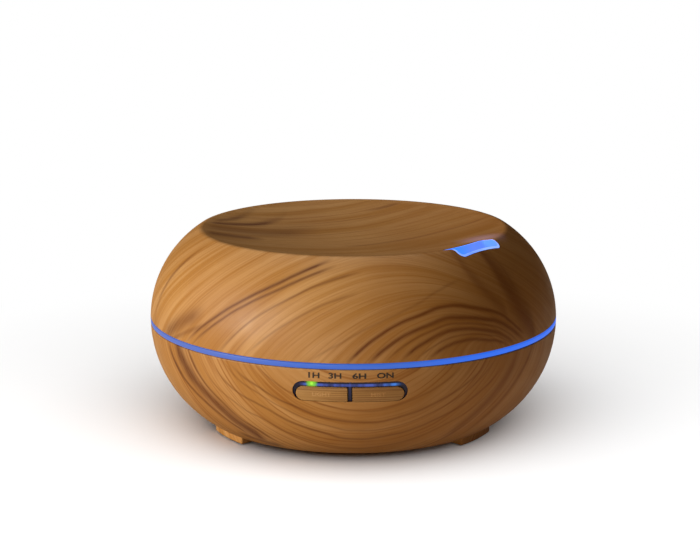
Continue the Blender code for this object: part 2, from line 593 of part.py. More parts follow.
def build_panel(surfaces):
    """Button board with switches, timer lights and screws, behind the bezel and the two buttons."""
    board = prism("panel_board", rounded_box(-0.026, 0.026, 0.0284, 0.0389, [0.001] * 4, 1),
                  BOARD_FRONT_Y,
                  BOARD_BACK_Y, surfaces["board"], upright=True)
    for side in (-1, 1):
        hole = prism(f"board_hole_{side}", circle(0.0012, 10, (side * PANEL_SCREW_X, BUTTON_MID_Z)),
                     -0.0730,
                     -0.0690, upright=True)
        combine(board, hole)
    pieces = [build_bezel(surfaces), board]
    for i, side in enumerate((-1, 1), start=1):
        fixing = screw(f"panel_screw_{i}", surfaces["steel"], *PANEL_SCREW)
        fixing.location = (side * PANEL_SCREW_X, BOARD_BACK_Y + GAP + PANEL_SCREW[1], BUTTON_MID_Z)
        fixing.rotation_euler = (math.pi / 2, 0, 0)
        pieces.append(fixing)
    dome = 0.00095
    outline = [(0.0, 0.0), (dome, 0.0), *arc((0.0, 0.0048), dome, 0, math.pi / 2, 3)[:-1],
               (0.0, 0.0048 + dome)]
    for label, x in zip(("1h", "3h", "6h", "on"), TIMER_LED_X):
        led = turned(f"timer_led_{label}", outline, surfaces["led"], segments=10)
        led.location = (x, BOARD_FRONT_Y - GAP, TIMER_LED_Z)
        led.rotation_euler = (math.pi / 2, 0, 0)
        pieces.append(led)
    return pieces


# ---- Fan, boards, inlet, leads -----------------------------------------------------------------------
def build_fan(surfaces):
    """Flat axial fan over the grille, with a duct that leads its air into the tank's tower."""
    half, (x, y) = FAN_SIZE / 2, FAN_CENTRE
    outline = rounded_box(-half, half, -half, half, [0.003] * 4, 2)
    frame = place(prism("fan_frame", outline, FAN_LOW, FAN_HIGH, surfaces["black"]), x, y)
    combine(frame, place(prism("fan_bore", circle(0.0188, 32), 0.0, 0.030), x, y))
    for i, azimuth in enumerate((math.pi / 4, -math.pi / 4)):
        spoke = box(f"fan_spoke_{i}", (-0.0012, 0.0012), (-0.0200, 0.0200),
                    (FAN_LOW + 0.0002, FAN_LOW + 0.0012))
        combine(frame, place(spoke, x, y, azimuth=azimuth), "UNION")
    combine(frame, place(prism("fan_hub", circle(0.0080, 16), FAN_LOW + 0.0001, FAN_LOW + 0.0014), x,
                         y), "UNION")
    combine(frame, place(prism("fan_pin", circle(0.0010, 16), FAN_LOW + 0.0010, FAN_LOW + 0.0050), x,
                         y), "UNION")
    for i, side in enumerate((-1, 1)):
        hole = prism(f"fan_screw_hole_{i}", circle(FAN_BORE_R, 10), 0.0, 0.030)
        combine(frame, place(hole, side * FAN_SCREW_OFFSET, y - FAN_SCREW_OFFSET))
    pieces = [frame, build_duct(surfaces)]
    for i, side in enumerate((-1, 1), start=1):
        fixing = screw(f"fan_screw_{i}", surfaces["steel"], *FAN_SCREW)
        fixing.location = (side * FAN_SCREW_OFFSET, y - FAN_SCREW_OFFSET, FAN_HIGH + GAP + FAN_SCREW[1])
        fixing.rotation_euler = (math.pi, 0, 0)
        pieces.append(fixing)
    return pieces


def build_duct(surfaces):
    """Shallow hood from the fan's square outlet to the slot under the tank's tower."""
    half, (x, y) = FAN_SIZE / 2, FAN_CENTRE
    low = FAN_HIGH + GAP
    notch = 0.0075
    corners = [
        (-half + notch, -half), (half - notch, -half), (half - notch, -half + notch),
        (half, -half + notch),
        (half, half), (-half, half), (-half, -half + notch), (-half + notch, -half + notch),
    ]
    duct = place(prism("fan_duct", corners, low, DUCT_HIGH, surfaces["black"]), x, y)
    inner, step = half - 0.0012, notch + 0.0012
    hollow = [
        (-half + step, -inner), (half - step, -inner), (half - step, -half + step), (inner, -half + step),
        (inner, inner), (-inner, inner), (-inner, -half + step), (-half + step, -half + step),
    ]
    combine(duct, place(prism("duct_hollow", hollow, low - 0.001, DUCT_HIGH - 0.0010), x, y))
    width, depth = TOWER_SIZE
    channel = rounded_box(-width / 2, width / 2, -depth / 2, depth / 2, [CHANNEL_CORNER] * 4)
    return combine(duct, place(prism("duct_outlet", channel, 0.010, 0.030), 0.0, TOWER_Y))


def build_rotor(surfaces):
    """Seven-bladed rotor whose blades lean back, turning on the frame's pin."""
    blades, hub_r, tip_r, half_width, lean = 7, 0.0085, 0.0180, 0.0010, math.radians(24)
    low, high = FAN_LOW + 0.0017, FAN_HIGH - 0.0006
    outline = []
    for i in range(blades):
        middle = i * math.tau / blades
        root, tip = half_width / hub_r, half_width / tip_r
        outline += [(hub_r, middle - root), (tip_r, middle - tip), (tip_r, middle + tip),
                    (hub_r, middle + root)]
        outline.append((hub_r, middle + math.pi / blades))
    bm = bmesh.new()
    lower, upper = (
        [bm.verts.new((r * math.cos(a + turn), r * math.sin(a + turn), z)) for r, a in outline]
        for turn, z in ((0.0, low), (lean, high))
    )
    bm.faces.new(lower)
    bm.faces.new(upper)
    for i in range(len(outline)):
        j = (i + 1) % len(outline)
        a, b, c, d = lower[i], lower[j], upper[j], upper[i]
        bm.faces.new((a, b, c))
        bm.faces.new((a, c, d))
    rotor = place(new_object("fan_rotor", bm, surfaces["black"]), *FAN_CENTRE)
    bore = prism("rotor_bore", circle(0.0011, 16), 0.0, FAN_LOW + 0.0053)
    return combine(rotor, place(bore, *FAN_CENTRE))


def build_boards(surfaces):
    """Main board with its tall components, and the curved light board with four mood lights."""
    pieces = [box("main_board", (-MAIN_BOARD_X, MAIN_BOARD_X), MAIN_BOARD_Y,
                  (MAIN_BOARD_LOW, MAIN_BOARD_HIGH), surfaces["board"])]
    top = MAIN_BOARD_HIGH + GAP
    drum = [(0.0, 0.0), (0.0045, 0.0), (0.0045, 0.0012), (0.0034, 0.0014), (0.0034, 0.0052),
            (0.0045, 0.0054),
            (0.0045, 0.0066), (0.0, 0.0066)]
    pieces.append(place(turned("driver_coil", drum, surfaces["copper"], segments=16), -0.018, -0.039,
                        top))
    can = [(0.0, 0.0), (0.0030, 0.0), (0.0030, 0.0072), (0.0026, 0.0076), (0.0, 0.0076)]
    pieces.append(place(turned("capacitor", can, surfaces["black"], segments=16), 0.018, -0.039, top))
    sink = box("heat_sink", (-0.006, 0.006), (-0.044, -0.036), (top, top + 0.0060),
               surfaces["aluminium"])
    for i in range(3):
        x = -0.0033 + i * 0.0033
        combine(sink, box(f"fin_gap_{i}", (x - 0.0009, x + 0.0009), (-0.050, -0.030),
                          (top + 0.0015, 0.030)))
    pieces.append(sink)
    (inner, outer), (low, high) = LIGHT_BOARD_R, LIGHT_BOARD_Z
    section = [(inner, low), (outer, low), (outer, high), (inner, high)]
    pieces.append(turned("light_board", section, surfaces["board"], segments=20,
                         start=-math.pi / 2 - LIGHT_BOARD_HALF_ANGLE, turn=2 * LIGHT_BOARD_HALF_ANGLE))
    for i in range(4):
        azimuth = math.radians(-90 + 60 * i)
        led = box(f"mood_led_{i + 1}", (-0.0025, 0.0025), (-0.0025, 0.0025), (high + GAP, high + 0.0019),
                  surfaces["led"])
        pieces.append(place(led, *polar((inner + outer) / 2, azimuth), azimuth=azimuth))
    return pieces


def build_inlet(surfaces):
    """Barrel socket with a centre pin behind the back wall."""
    half_x, below, above, back, front = 0.0045, 0.0036, 0.0055, 0.0663, INLET_WALL_Y - 0.002 - GAP
    body = rounded_box(-half_x, half_x, INLET_Z - below, INLET_Z + above, (0, 0, 0, 0))
    inlet = prism("power_inlet", body, back, front, surfaces["black"], upright=True)
    nose = prism("inlet_nose", circle(0.0040, 20, (0.0, INLET_Z)), front - 0.001,
                 INLET_WALL_Y - 0.0002, upright=True)
    combine(inlet, nose, "UNION")
    combine(inlet, prism("inlet_bore", circle(0.0029, 16, (0.0, INLET_Z)), back + 0.0012, 0.085,
                         upright=True))
    pin = prism("inlet_pin", circle(0.00105, 10, (0.0, INLET_Z)), back + 0.0008, INLET_WALL_Y - 0.0020,
                upright=True)
    return combine(inlet, pin, "UNION")


def build_leads(surfaces):
    """Wiring from the main board to the disc, the fan, the inlet, the button board and the lights."""
    board = MAIN_BOARD_HIGH + GAP
    routes = {
        "piezo_lead": [(0.003, 0.0, 0.0143), (0.003, -0.001, 0.0118), (0.004, -0.006, 0.0104),
                       (0.005, -0.014, 0.0112),
                       (0.005, -0.0205, 0.0126), (0.005, -0.0230, board + 0.0005),
                       (0.005, -0.0232, board)],
        "fan_lead": [(0.017, 0.0175, 0.0120), (0.0171, 0.0160, 0.0119), (0.0215, 0.0080, 0.0090),
                     (0.0220, -0.0060, 0.0095), (0.0190, -0.0170, 0.0125), (0.0180, -0.0225, 0.0118),
                     (0.0180, -0.0228, board)],
        "power_lead": [(0.0, 0.0700, 0.0182), (0.0, 0.0697, 0.0165), (-0.004, 0.0665, 0.0130),
                       (-0.014, 0.0630, 0.0112),
                       (-0.024, 0.0560, 0.0105), (-0.0265, 0.0450, 0.0100), (-0.0265, 0.0280, 0.0095),
                       (-0.0262, 0.0080, 0.0095), (-0.0230, -0.0100, 0.0105), (-0.0200, -0.0190, 0.0128),
                       (-0.0200, -0.0225, 0.0118), (-0.0200, -0.0228, board)],
        "panel_lead": [(0.008, -0.0708, 0.0281), (0.008, -0.0706, 0.0260), (0.008, -0.0690, 0.0180),
                       (0.008, -0.0650, 0.0130), (0.008, -0.0570, 0.0105), (0.008, -0.0490, 0.0120),
                       (0.0085, -0.0450, 0.0125), (0.009, -0.0435, board)],
        "light_lead": [(-0.013, -0.0225, LIGHT_BOARD_Z[0] - GAP), (-0.0136, -0.0235, 0.0130),
                       (-0.013, -0.0240, board)],
    }
    return [lead(name, route, surfaces["wire"]) for name, route in routes.items()]


def clear_scene():
    """Remove what the file holds."""
    for thing in list(bpy.data.objects):
        bpy.data.objects.remove(thing)


def joint_empty(name, position):
    """Empty that marks a joint's axis."""
    empty = bpy.data.objects.new(name, None)
    empty.location = position
    bpy.context.scene.collection.objects.link(empty)
    return empty


def build_materials():
    """Every finish of the object by its short name."""
    return {
        "wood": material("wood_grain_plastic", (0.52, 0.27, 0.09), 0.45),
        "glow": material("blue_light_ring", (0.10, 0.22, 0.85), 0.35),
        "translucent": material("blue_lit_outlet", (0.20, 0.38, 0.95), 0.35),
        "white": material("white_plastic", (0.80, 0.80, 0.78), 0.40),
        "tank": material("frosted_tank", (0.78, 0.82, 0.85), 0.35),
        "smoke": material("smoky_plastic", (0.03, 0.03, 0.04), 0.20),
        "led": material("led_lens", (0.75, 0.85, 0.75), 0.20),
        "silicone": material("silicone", (0.70, 0.70, 0.68), 0.60),
        "rubber": material("black_rubber", (0.04, 0.04, 0.04), 0.80),
        "black": material("black_plastic", (0.05, 0.05, 0.05), 0.50),
        "board": material("circuit_board", (0.03, 0.20, 0.08), 0.40),
        "steel": material("screw_steel", (0.60, 0.60, 0.60), 0.35, 1.0),
        "brass": material("disc_metal", (0.75, 0.62, 0.35), 0.30, 1.0),
        "copper": material("coil_copper", (0.65, 0.32, 0.16), 0.40, 1.0),
        "aluminium": material("heat_sink_metal", (0.70, 0.70, 0.72), 0.40, 1.0),
        "wire": material("wire_insulation", (0.75, 0.75, 0.75), 0.50),
    }


def main():
    """Build every piece and parent the moving ones to their joints."""
    clear_scene()
    surfaces = build_materials()

    cover_joint = joint_empty("cover_lift_axis", (0.0, 0.0, RING_HIGH))
    hang_on(cover_joint, build_cover(surfaces), build_outlet(surfaces), *build_lid(surfaces))

    build_bowl(surfaces)
    build_ring(surfaces)
    build_bottom(surfaces)
    build_tank(surfaces)
    build_piezo(surfaces)
    build_panel(surfaces)
    for name, side in (("light", -1), ("mist", 1)):
        cap = build_button(f"{name}_button", side, surfaces)
        _body, stem = build_switch(name, side, surfaces)
        hang_on(cap, stem)
    build_fan(surfaces)
    fan_joint = joint_empty("fan_spin_axis", (*FAN_CENTRE, FAN_LOW))
    hang_on(fan_joint, build_rotor(surfaces))
    build_boards(surfaces)
    build_inlet(surfaces)
    build_leads(surfaces)


main()
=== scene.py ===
"""Looks of a round table-top diffuser: wood-grain shell, glowing seam ring, lit mist outlet and buttons.

Units are metres, +Z is up and the front with the buttons faces -Y. An azimuth is counted from the front,
positive towards +X. Grain is laid out in millimetres: Run is the way round the body from the front, Height
is above ground.
"""

import json
import logging
import math
from collections.abc import Iterable, Sequence
from dataclasses import dataclass
from enum import Enum
from typing import Any

import bmesh
import bpy
import numpy as np
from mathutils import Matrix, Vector

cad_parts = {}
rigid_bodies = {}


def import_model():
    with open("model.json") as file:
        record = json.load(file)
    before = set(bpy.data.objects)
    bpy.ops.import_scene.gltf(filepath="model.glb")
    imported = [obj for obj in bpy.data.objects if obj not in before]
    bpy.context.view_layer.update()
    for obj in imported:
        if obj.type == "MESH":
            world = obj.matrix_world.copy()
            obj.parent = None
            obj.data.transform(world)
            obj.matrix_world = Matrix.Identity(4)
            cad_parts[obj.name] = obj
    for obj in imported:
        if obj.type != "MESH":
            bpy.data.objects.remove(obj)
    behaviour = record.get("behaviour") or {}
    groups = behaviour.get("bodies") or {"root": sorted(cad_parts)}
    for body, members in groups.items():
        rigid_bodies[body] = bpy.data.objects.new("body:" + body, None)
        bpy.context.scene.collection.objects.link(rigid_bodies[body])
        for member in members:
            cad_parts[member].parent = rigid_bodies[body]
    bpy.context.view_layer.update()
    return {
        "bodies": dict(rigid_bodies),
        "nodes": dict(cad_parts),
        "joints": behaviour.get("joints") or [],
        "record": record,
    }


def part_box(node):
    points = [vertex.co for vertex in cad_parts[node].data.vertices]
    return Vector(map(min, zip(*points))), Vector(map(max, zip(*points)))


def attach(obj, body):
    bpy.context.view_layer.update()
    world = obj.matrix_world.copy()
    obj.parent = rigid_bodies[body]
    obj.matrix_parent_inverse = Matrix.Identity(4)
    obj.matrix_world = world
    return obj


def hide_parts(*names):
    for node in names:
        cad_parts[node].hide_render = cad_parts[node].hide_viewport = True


LOG = logging.getLogger("diffuser")
BODY_MM = 84.0  # radius at which Run and Sweep are measured

Point2 = tuple[float, float]
Colour = tuple[float, float, float]


# ---- Outlines and solids -------------------------------------------------------------------------
def arc(centre: Point2, radius: float, start: float, end: float, steps: int) -> list[Point2]:
    """Points on an arc.

    Args:
        centre: Middle of the arc.
        radius: Its radius.
        start: First angle in radians.
        end: Last angle in radians.
        steps: Number of chords.

    Returns:
        The points, both ends included.
    """
    angles = np.linspace(start, end, steps + 1)
    return [(centre[0] + radius * math.cos(a), centre[1] + radius * math.sin(a)) for a in angles]


def rounded_box(low: Point2, high: Point2, corners: Sequence[float], steps: int = 8) -> list[Point2]:
    """Rectangle with rounded corners.

    Args:
        low: Lowest corner.
        high: Highest corner.
        corners: Radius at low-low, high-low, high-high and low-high.
        steps: Chords in each rounding.

    Returns:
        The outline, counter-clockwise.
    """
    points: list[Point2] = []
    places = ((low[0], low[1]), (high[0], low[1]), (high[0], high[1]), (low[0], high[1]))
    for i, ((x, y), r) in enumerate(zip(places, corners)):
        centre = (x + (r if x == low[0] else -r), y + (r if y == low[1] else -r))
        points += arc(centre, r, math.pi + i * math.pi / 2, math.pi + (i + 1) * math.pi / 2, steps)
    return points


def circle(radius: float, steps: int, centre: Point2 = (0.0, 0.0)) -> list[Point2]:
    """Regular polygon that stands for a circle.

    Args:
        radius: Radius of its corners.
        steps: Number of corners.
        centre: Its middle.

    Returns:
        The corners.
    """
    return arc(centre, radius, 0, math.tau * (steps - 1) / steps, steps - 1)


def polar(radius: float, azimuth: float) -> Point2:
    """Point (x, y) at an azimuth counted from the front.

    Args:
        radius: Distance from the body's axis.
        azimuth: Angle in radians.

    Returns:
        The point.
    """
    return radius * math.sin(azimuth), -radius * math.cos(azimuth)


def softened(outline: Sequence[Point2], radius: float, steps: int = 3) -> list[Point2]:
    """Closed outline whose corners are rounded.

    Args:
        outline: Corners of the outline.
        radius: Rounding, cut down where an edge is short.
        steps: Chords in each rounding.

    Returns:
        The rounded outline.
    """
    made: list[Point2] = []
    count = len(outline)
    for i, corner in enumerate(outline):
        here = Vector(corner)
        before, after = Vector(outline[i - 1]) - here, Vector(outline[(i + 1) % count]) - here
        reach = min(radius, before.length * 0.45, after.length * 0.45)
        a, b = here + before.normalized() * reach, here + after.normalized() * reach
        for t in np.linspace(0, 1, steps + 1):
            made.append(tuple((1 - t) ** 2 * a + 2 * t * (1 - t) * here + t**2 * b))
    return made


def new_object(name: str, bm: bmesh.types.BMesh) -> bpy.types.Object:
    """Object from a bmesh, linked to the scene.

    Args:
        name: Name of the object.
        bm: Its faces. The bmesh is freed.

    Returns:
        The object.
    """
    bmesh.ops.recalc_face_normals(bm, faces=bm.faces)
    mesh = bpy.data.meshes.new(name)
    bm.to_mesh(mesh)
    bm.free()
    made = bpy.data.objects.new(name, mesh)
    bpy.context.scene.collection.objects.link(made)
    return made


def turned(name: str, outline: Sequence[Point2], segments: int = 192, start: float = 0.0,
           turn: float = math.tau) -> bpy.types.Object:
    """Solid of revolution about Z.

    Args:
        name: Name of the object.
        outline: Points (r, z), closed, or with both ends on the axis.
        segments: Facets round the turn.
        start: Angle of the first section.
        turn: Angle turned through.

    Returns:
        The solid.
    """
    bm = bmesh.new()
    verts = [bm.verts.new((r * math.cos(start), r * math.sin(start), z)) for r, z in outline]
    edges = [bm.edges.new(pair) for pair in zip(verts, verts[1:])]
    if outline[0][0] > 0:
        edges.append(bm.edges.new((verts[-1], verts[0])))
    bmesh.ops.spin(bm, geom=verts + edges, cent=(0, 0, 0), axis=(0, 0, 1), angle=turn, steps=segments)
    bmesh.ops.remove_doubles(bm, verts=bm.verts, dist=1e-6)
    bmesh.ops.holes_fill(bm, edges=[e for e in bm.edges if e.is_boundary], sides=0)
    return new_object(name, bm)


def prism(name: str, outline: Sequence[Point2], low: float, high: float,
          upright: bool = False) -> bpy.types.Object:
    """Outline pushed from one level to another.

    Args:
        name: Name of the object.
        outline: Points in XY, or in XZ when upright.
        low: First level, along Z, or along Y when upright.
        high: Last level.
        upright: Whether the outline stands in XZ.

    Returns:
        The solid.
    """
    bm = bmesh.new()
    lower = [bm.verts.new((a, low, b) if upright else (a, b, low)) for a, b in outline]
    lifted = bmesh.ops.extrude_face_region(bm, geom=[bm.faces.new(lower)])["geom"]
    step = (0, high - low, 0) if upright else (0, 0, high - low)
    bmesh.ops.translate(bm, verts=[v for v in lifted if isinstance(v, bmesh.types.BMVert)], vec=step)
    return new_object(name, bm)


def place(piece: bpy.types.Object, x: float = 0.0, y: float = 0.0, z: float = 0.0,
          azimuth: float = 0.0) -> bpy.types.Object:
    """Sets a helper at a point, turned about Z.

    Args:
        piece: The object.
        x: Position along X.
        y: Position along Y.
        z: Position along Z.
        azimuth: Turn in radians.

    Returns:
        The same object.
    """
    piece.location = (x, y, z)
    piece.rotation_euler = (0, 0, azimuth)
    return piece


class Join(Enum):
    """How a helper changes a piece."""

    CUT = "DIFFERENCE"
    ADD = "UNION"
    KEEP = "INTERSECT"


def shape(piece: bpy.types.Object, steps: Iterable[tuple[Join, bpy.types.Object]]) -> bpy.types.Object:
    """Cuts, adds or trims a piece with helpers, which are then gone.

    Args:
        piece: The piece, whose mesh is rewritten.
        steps: What each helper does, in order.

    Returns:
        The same piece.
    """
    helpers = []
    for join, helper in steps:
        modifier = piece.modifiers.new(helper.name, "BOOLEAN")
        modifier.operation = join.value
        modifier.solver = "EXACT"
        modifier.object = helper
        helpers.append(helper)
    bpy.context.view_layer.update()
    graph = bpy.context.evaluated_depsgraph_get()
    mesh = bpy.data.meshes.new_from_object(piece.evaluated_get(graph), depsgraph=graph)
    piece.modifiers.clear()
    piece.data = mesh
    for helper in helpers:
        bpy.data.objects.remove(helper)
    return piece


def rounded(piece: bpy.types.Object, width: float, segments: int = 3,
            angle: float = 35.0) -> bpy.types.Object:
    """Rounds a piece's sharp edges in its mesh.

    Args:
        piece: The piece.
        width: Width of the rounding.
        segments: Chords across it.
        angle: Edges sharper than this many degrees are rounded.

    Returns:
        The same piece.
    """
    modifier = piece.modifiers.new("rounding", "BEVEL")
    modifier.width = width
    modifier.segments = segments
    modifier.limit_method = "ANGLE"
    modifier.angle_limit = math.radians(angle)
    return shape(piece, ())


def smooth(piece: bpy.types.Object, angle: float = 35.0) -> bpy.types.Object:
    """Shades a piece smooth between its sharp edges.

    Args:
        piece: The piece.
        angle: Edges sharper than this many degrees stay sharp.

    Returns:
        The same piece.
    """
    piece.data.shade_smooth()
    piece.data.set_sharp_from_angle(angle=math.radians(angle))
    return piece


def finish_piece(piece: bpy.types.Object, body: str, nodes: Sequence[str],
                 surfaces: Sequence[bpy.types.Material]) -> bpy.types.Object:
    """Gives a piece its finish, the body that it rides on and the nodes that it stands for.

    Args:
        piece: The piece.
        body: Body of the frame.
        nodes: Nodes that it replaces.
        surfaces: Its materials.

    Returns:
        The same piece.
    """
    piece.data.materials.clear()
    for surface in surfaces:
        piece.data.materials.append(surface)
    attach(piece, body)
    if nodes:
        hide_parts(*nodes)
    return piece


# ---- The body's skin -----------------------------------------------------------------------------
@dataclass(frozen=True)
class Skin:
    """Outer skin of the body: two side arcs, a rounded lip and a shallow dish."""

    body_r: float = 0.084
    body_z: float = 0.0442
    upper_arc: float = 0.044
    lower_arc: float = 0.0478
    lip_r: float = 0.0624
    lip_round: float = 0.003
    dish_depth: float = 0.0068

    @property
    def lip_z(self) -> float:
        """Height of the middle of the lip's rounding."""
        reach = self.upper_arc - self.lip_round
        return self.body_z + math.sqrt(reach**2 - (self.lip_r - self.body_r + self.upper_arc) ** 2)

    @property
    def dish(self) -> tuple[float, float, float]:
        """Height of the middle of the dish's sphere, its radius, and the angle at which lip and dish meet."""
        rise = self.dish_depth - self.lip_round
        radius = (self.lip_r**2 + rise**2 - self.lip_round**2) / (2 * (rise + self.lip_round))
        middle = self.lip_z + self.lip_round - self.dish_depth + radius
        return middle, radius, math.atan2(radius - rise, -self.lip_r)

    def side(self, z_from: float, z_to: float, steps: int, inset: float = 0.0) -> list[Point2]:
        """Points along the side.

        Args:
            z_from: First height.
            z_to: Last height.
            steps: Number of chords.
            inset: Depth below the skin.

        Returns:
            Points (r, z) on the arc that holds both heights.
        """
        bend = self.upper_arc if max(z_from, z_to) > self.body_z else self.lower_arc
        start, end = (math.asin((z - self.body_z) / (bend - inset)) for z in (z_from, z_to))
        return arc((self.body_r - bend, self.body_z), bend - inset, start, end, steps)

    def cover(self, rim: float, inset: float, steps: tuple[int, int, int]) -> list[Point2]:
        """Points from the cover's rim over the lip to the middle of the dish.

        Args:
            rim: Height of the rim.
            inset: Depth below the skin.
            steps: Chords of the side, the lip and the dish.

        Returns:
            Points (r, z).
        """
        middle, radius, meet = self.dish
        lip_start = math.atan2(self.lip_z - self.body_z, self.lip_r - self.body_r + self.upper_arc)
        reach = self.upper_arc - inset
        start = math.asin((rim - self.body_z) / reach)
        side = arc((self.body_r - self.upper_arc, self.body_z), reach, start, lip_start, steps[0])
        lip = arc((self.lip_r, self.lip_z), self.lip_round - inset, lip_start, meet, steps[1])
        dish = arc((0, middle), radius + inset, meet - math.pi, -math.pi / 2, steps[2])
        return side + lip[1:] + [*dish[1:-1], (0.0, dish[-1][1])]

    def normals(self, places: np.ndarray, slack: float = 4e-5) -> tuple[np.ndarray, np.ndarray]:
        """Normals of the skin.

        Args:
            places: Points as rows.
            slack: How far from the skin a point still counts as on it.

        Returns:
            The skin's normal at each point, and whether the point lies on the skin.
        """
        r, z = np.hypot(places[:, 0], places[:, 1]), places[:, 2]
        middle, radius, meet = self.dish
        lip_from = math.atan2(self.lip_z - self.body_z, self.lip_r - self.body_r + self.upper_arc)
        upper = z > self.body_z
        bend = np.where(upper, self.upper_arc, self.lower_arc)
        side = np.stack([r - (self.body_r - bend), z - self.body_z], 1)
        lip = np.stack([r - self.lip_r, z - self.lip_z], 1)
        dish = np.stack([-r, middle - z], 1)
        angle = np.arctan2(lip[:, 1], lip[:, 0])
        on_lip = (angle > lip_from - 1e-3) & (angle < meet + 1e-3) & (z > self.lip_z)
        in_dish = (angle >= meet) & (z > self.lip_z - self.dish_depth) & (r < self.lip_r)
        flat = np.where(on_lip[:, None], lip, np.where(in_dish[:, None], dish, side))
        length = np.linalg.norm(flat, axis=1)
        wanted = np.where(on_lip, self.lip_round, np.where(in_dish, radius, bend))
        flat = flat / np.maximum(length, 1e-9)[:, None]
        out = places[:, :2] / np.maximum(r, 1e-9)[:, None]
        found = np.stack([out[:, 0] * flat[:, 0], out[:, 1] * flat[:, 0], flat[:, 1]], 1)
        return found, np.abs(length - wanted) < slack

    def shade(self, piece: bpy.types.Object) -> bpy.types.Object:
        """Shades a piece smooth and lends the skin's own normals to the faces that lie on the skin.

        Args:
            piece: The piece, in the row frame.

        Returns:
            The same piece.
        """
        mesh = smooth(piece).data
        places = np.empty(len(mesh.vertices) * 3, np.float32)
        mesh.vertices.foreach_get("co", places)
        skin, on_skin = self.normals(places.reshape(-1, 3).astype(float))
        corner = np.empty(len(mesh.loops) * 3, np.float32)
        mesh.corner_normals.foreach_get("vector", corner)
        corner = corner.reshape(-1, 3)
        owner = np.empty(len(mesh.loops), np.int32)
        mesh.loops.foreach_get("vertex_index", owner)
        for face in mesh.polygons:
            loops = list(face.loop_indices)
            held = owner[loops]
            if on_skin[held].all() and skin[held].mean(0) @ np.array(face.normal) > 0.8:
                corner[loops] = skin[held]
        mesh.normals_split_custom_set(corner.tolist())
        return piece


# ---- Node trees ----------------------------------------------------------------------------------
class Graph:
    """Adds nodes to one tree, with values and links given together."""

    def __init__(self, tree: bpy.types.NodeTree) -> None:
        """Keeps the tree.

        Args:
            tree: Tree of a material, a group or the world.
        """
        self.tree = tree

    def node(self, kind: str, **settings: Any) -> bpy.types.Node:
        """Adds a node.

        Args:
            kind: Type of the node without the ShaderNode prefix.
            **settings: Properties to set on it.

        Returns:
            The node.
        """
        made = self.tree.nodes.new("ShaderNode" + kind)
        for name, value in settings.items():
            setattr(made, name, value)
        return made

    def feed(self, socket: bpy.types.NodeSocket, value: Any) -> None:
        """Links a socket, or sets its value.

        Args:
            socket: Socket of an input.
            value: Another node's output, a number, or a tuple.
        """
        if isinstance(value, bpy.types.NodeSocket):
            self.tree.links.new(value, socket)
        elif isinstance(value, tuple) and len(value) == 3 and socket.type == "RGBA":
            socket.default_value = (*value, 1.0)
        else:
            socket.default_value = value

    def math(self, operation: str, *values: Any, clamp: bool = False) -> bpy.types.NodeSocket:
        """Adds a Math node.

        Args:
            operation: Its operation.
            *values: Numbers or sockets.
            clamp: Whether the result is held between 0 and 1.

        Returns:
            The result.
        """
        made = self.node("Math", operation=operation, use_clamp=clamp)
        for socket, value in zip(made.inputs, values):
            self.feed(socket, value)
        return made.outputs[0]

    def hypot(self, a: Any, b: Any) -> bpy.types.NodeSocket:
        """Length of the vector (a, b).

        Args:
            a: First part.
            b: Second part.

        Returns:
            The length.
        """
        return self.math("SQRT", self.math("ADD", self.math("MULTIPLY", a, a), self.math("MULTIPLY", b, b)))

    def remap(self, value: Any, low: float, high: float, to_low: float = 0.0, to_high: float = 1.0,
              soft: bool = True) -> bpy.types.NodeSocket:
        """Maps a range to another, held at both ends.

        Args:
            value: Socket to map.
            low: Start of its range.
            high: End of its range.
            to_low: Result at the start.
            to_high: Result at the end.
            soft: Whether the ends are eased.

        Returns:
            The result.
        """
        made = self.node("MapRange", interpolation_type="SMOOTHSTEP" if soft else "LINEAR")
        for socket, given in zip(made.inputs, (value, low, high, to_low, to_high)):
            self.feed(socket, given)
        return made.outputs[0]

    def combine(self, x: Any, y: Any, z: Any) -> bpy.types.NodeSocket:
        """Vector from three parts.

        Args:
            x: First part.
            y: Second part.
            z: Third part.

        Returns:
            The vector.
        """
        made = self.node("CombineXYZ")
        for socket, value in zip(made.inputs, (x, y, z)):
            self.feed(socket, value)
        return made.outputs[0]

    def noise(self, vector: Any, scale: float, detail: float = 2.0,
              roughness: float = 0.5) -> bpy.types.NodeSocket:
        """Noise between 0 and 1.

        Args:
            vector: Where it is read.
            scale: Its scale.
            detail: Number of finer layers.
            roughness: Weight of the finer layers.

        Returns:
            The value.
        """
        made = self.node("TexNoise")
        self.feed(made.inputs["Vector"], vector)
        made.inputs["Scale"].default_value = scale
        made.inputs["Detail"].default_value = detail
        made.inputs["Roughness"].default_value = roughness
        return made.outputs["Fac"]

    def mix(self, share: Any, a: Any, b: Any, blend: str = "MIX") -> bpy.types.NodeSocket:
        """Mixes two colours.

        Args:
            share: Weight of the second.
            a: First colour.
            b: Second colour.
            blend: Blend type.

        Returns:
            The colour.
        """
        made = self.node("Mix", data_type="RGBA", blend_type=blend)
        for socket, value in ((made.inputs["Factor"], share), (made.inputs[6], a), (made.inputs[7], b)):
            self.feed(socket, value)
        return made.outputs[2]

    def group(self, tree: bpy.types.NodeTree, **values: Any) -> bpy.types.Node:
        """Places a node group.

        Args:
            tree: The group.
            **values: Its inputs by name, with underscores for spaces.

        Returns:
            The node.
        """
        made = self.node("Group", node_tree=tree)
        for name, value in values.items():
            self.feed(made.inputs[name.replace("_", " ")], value)
        return made


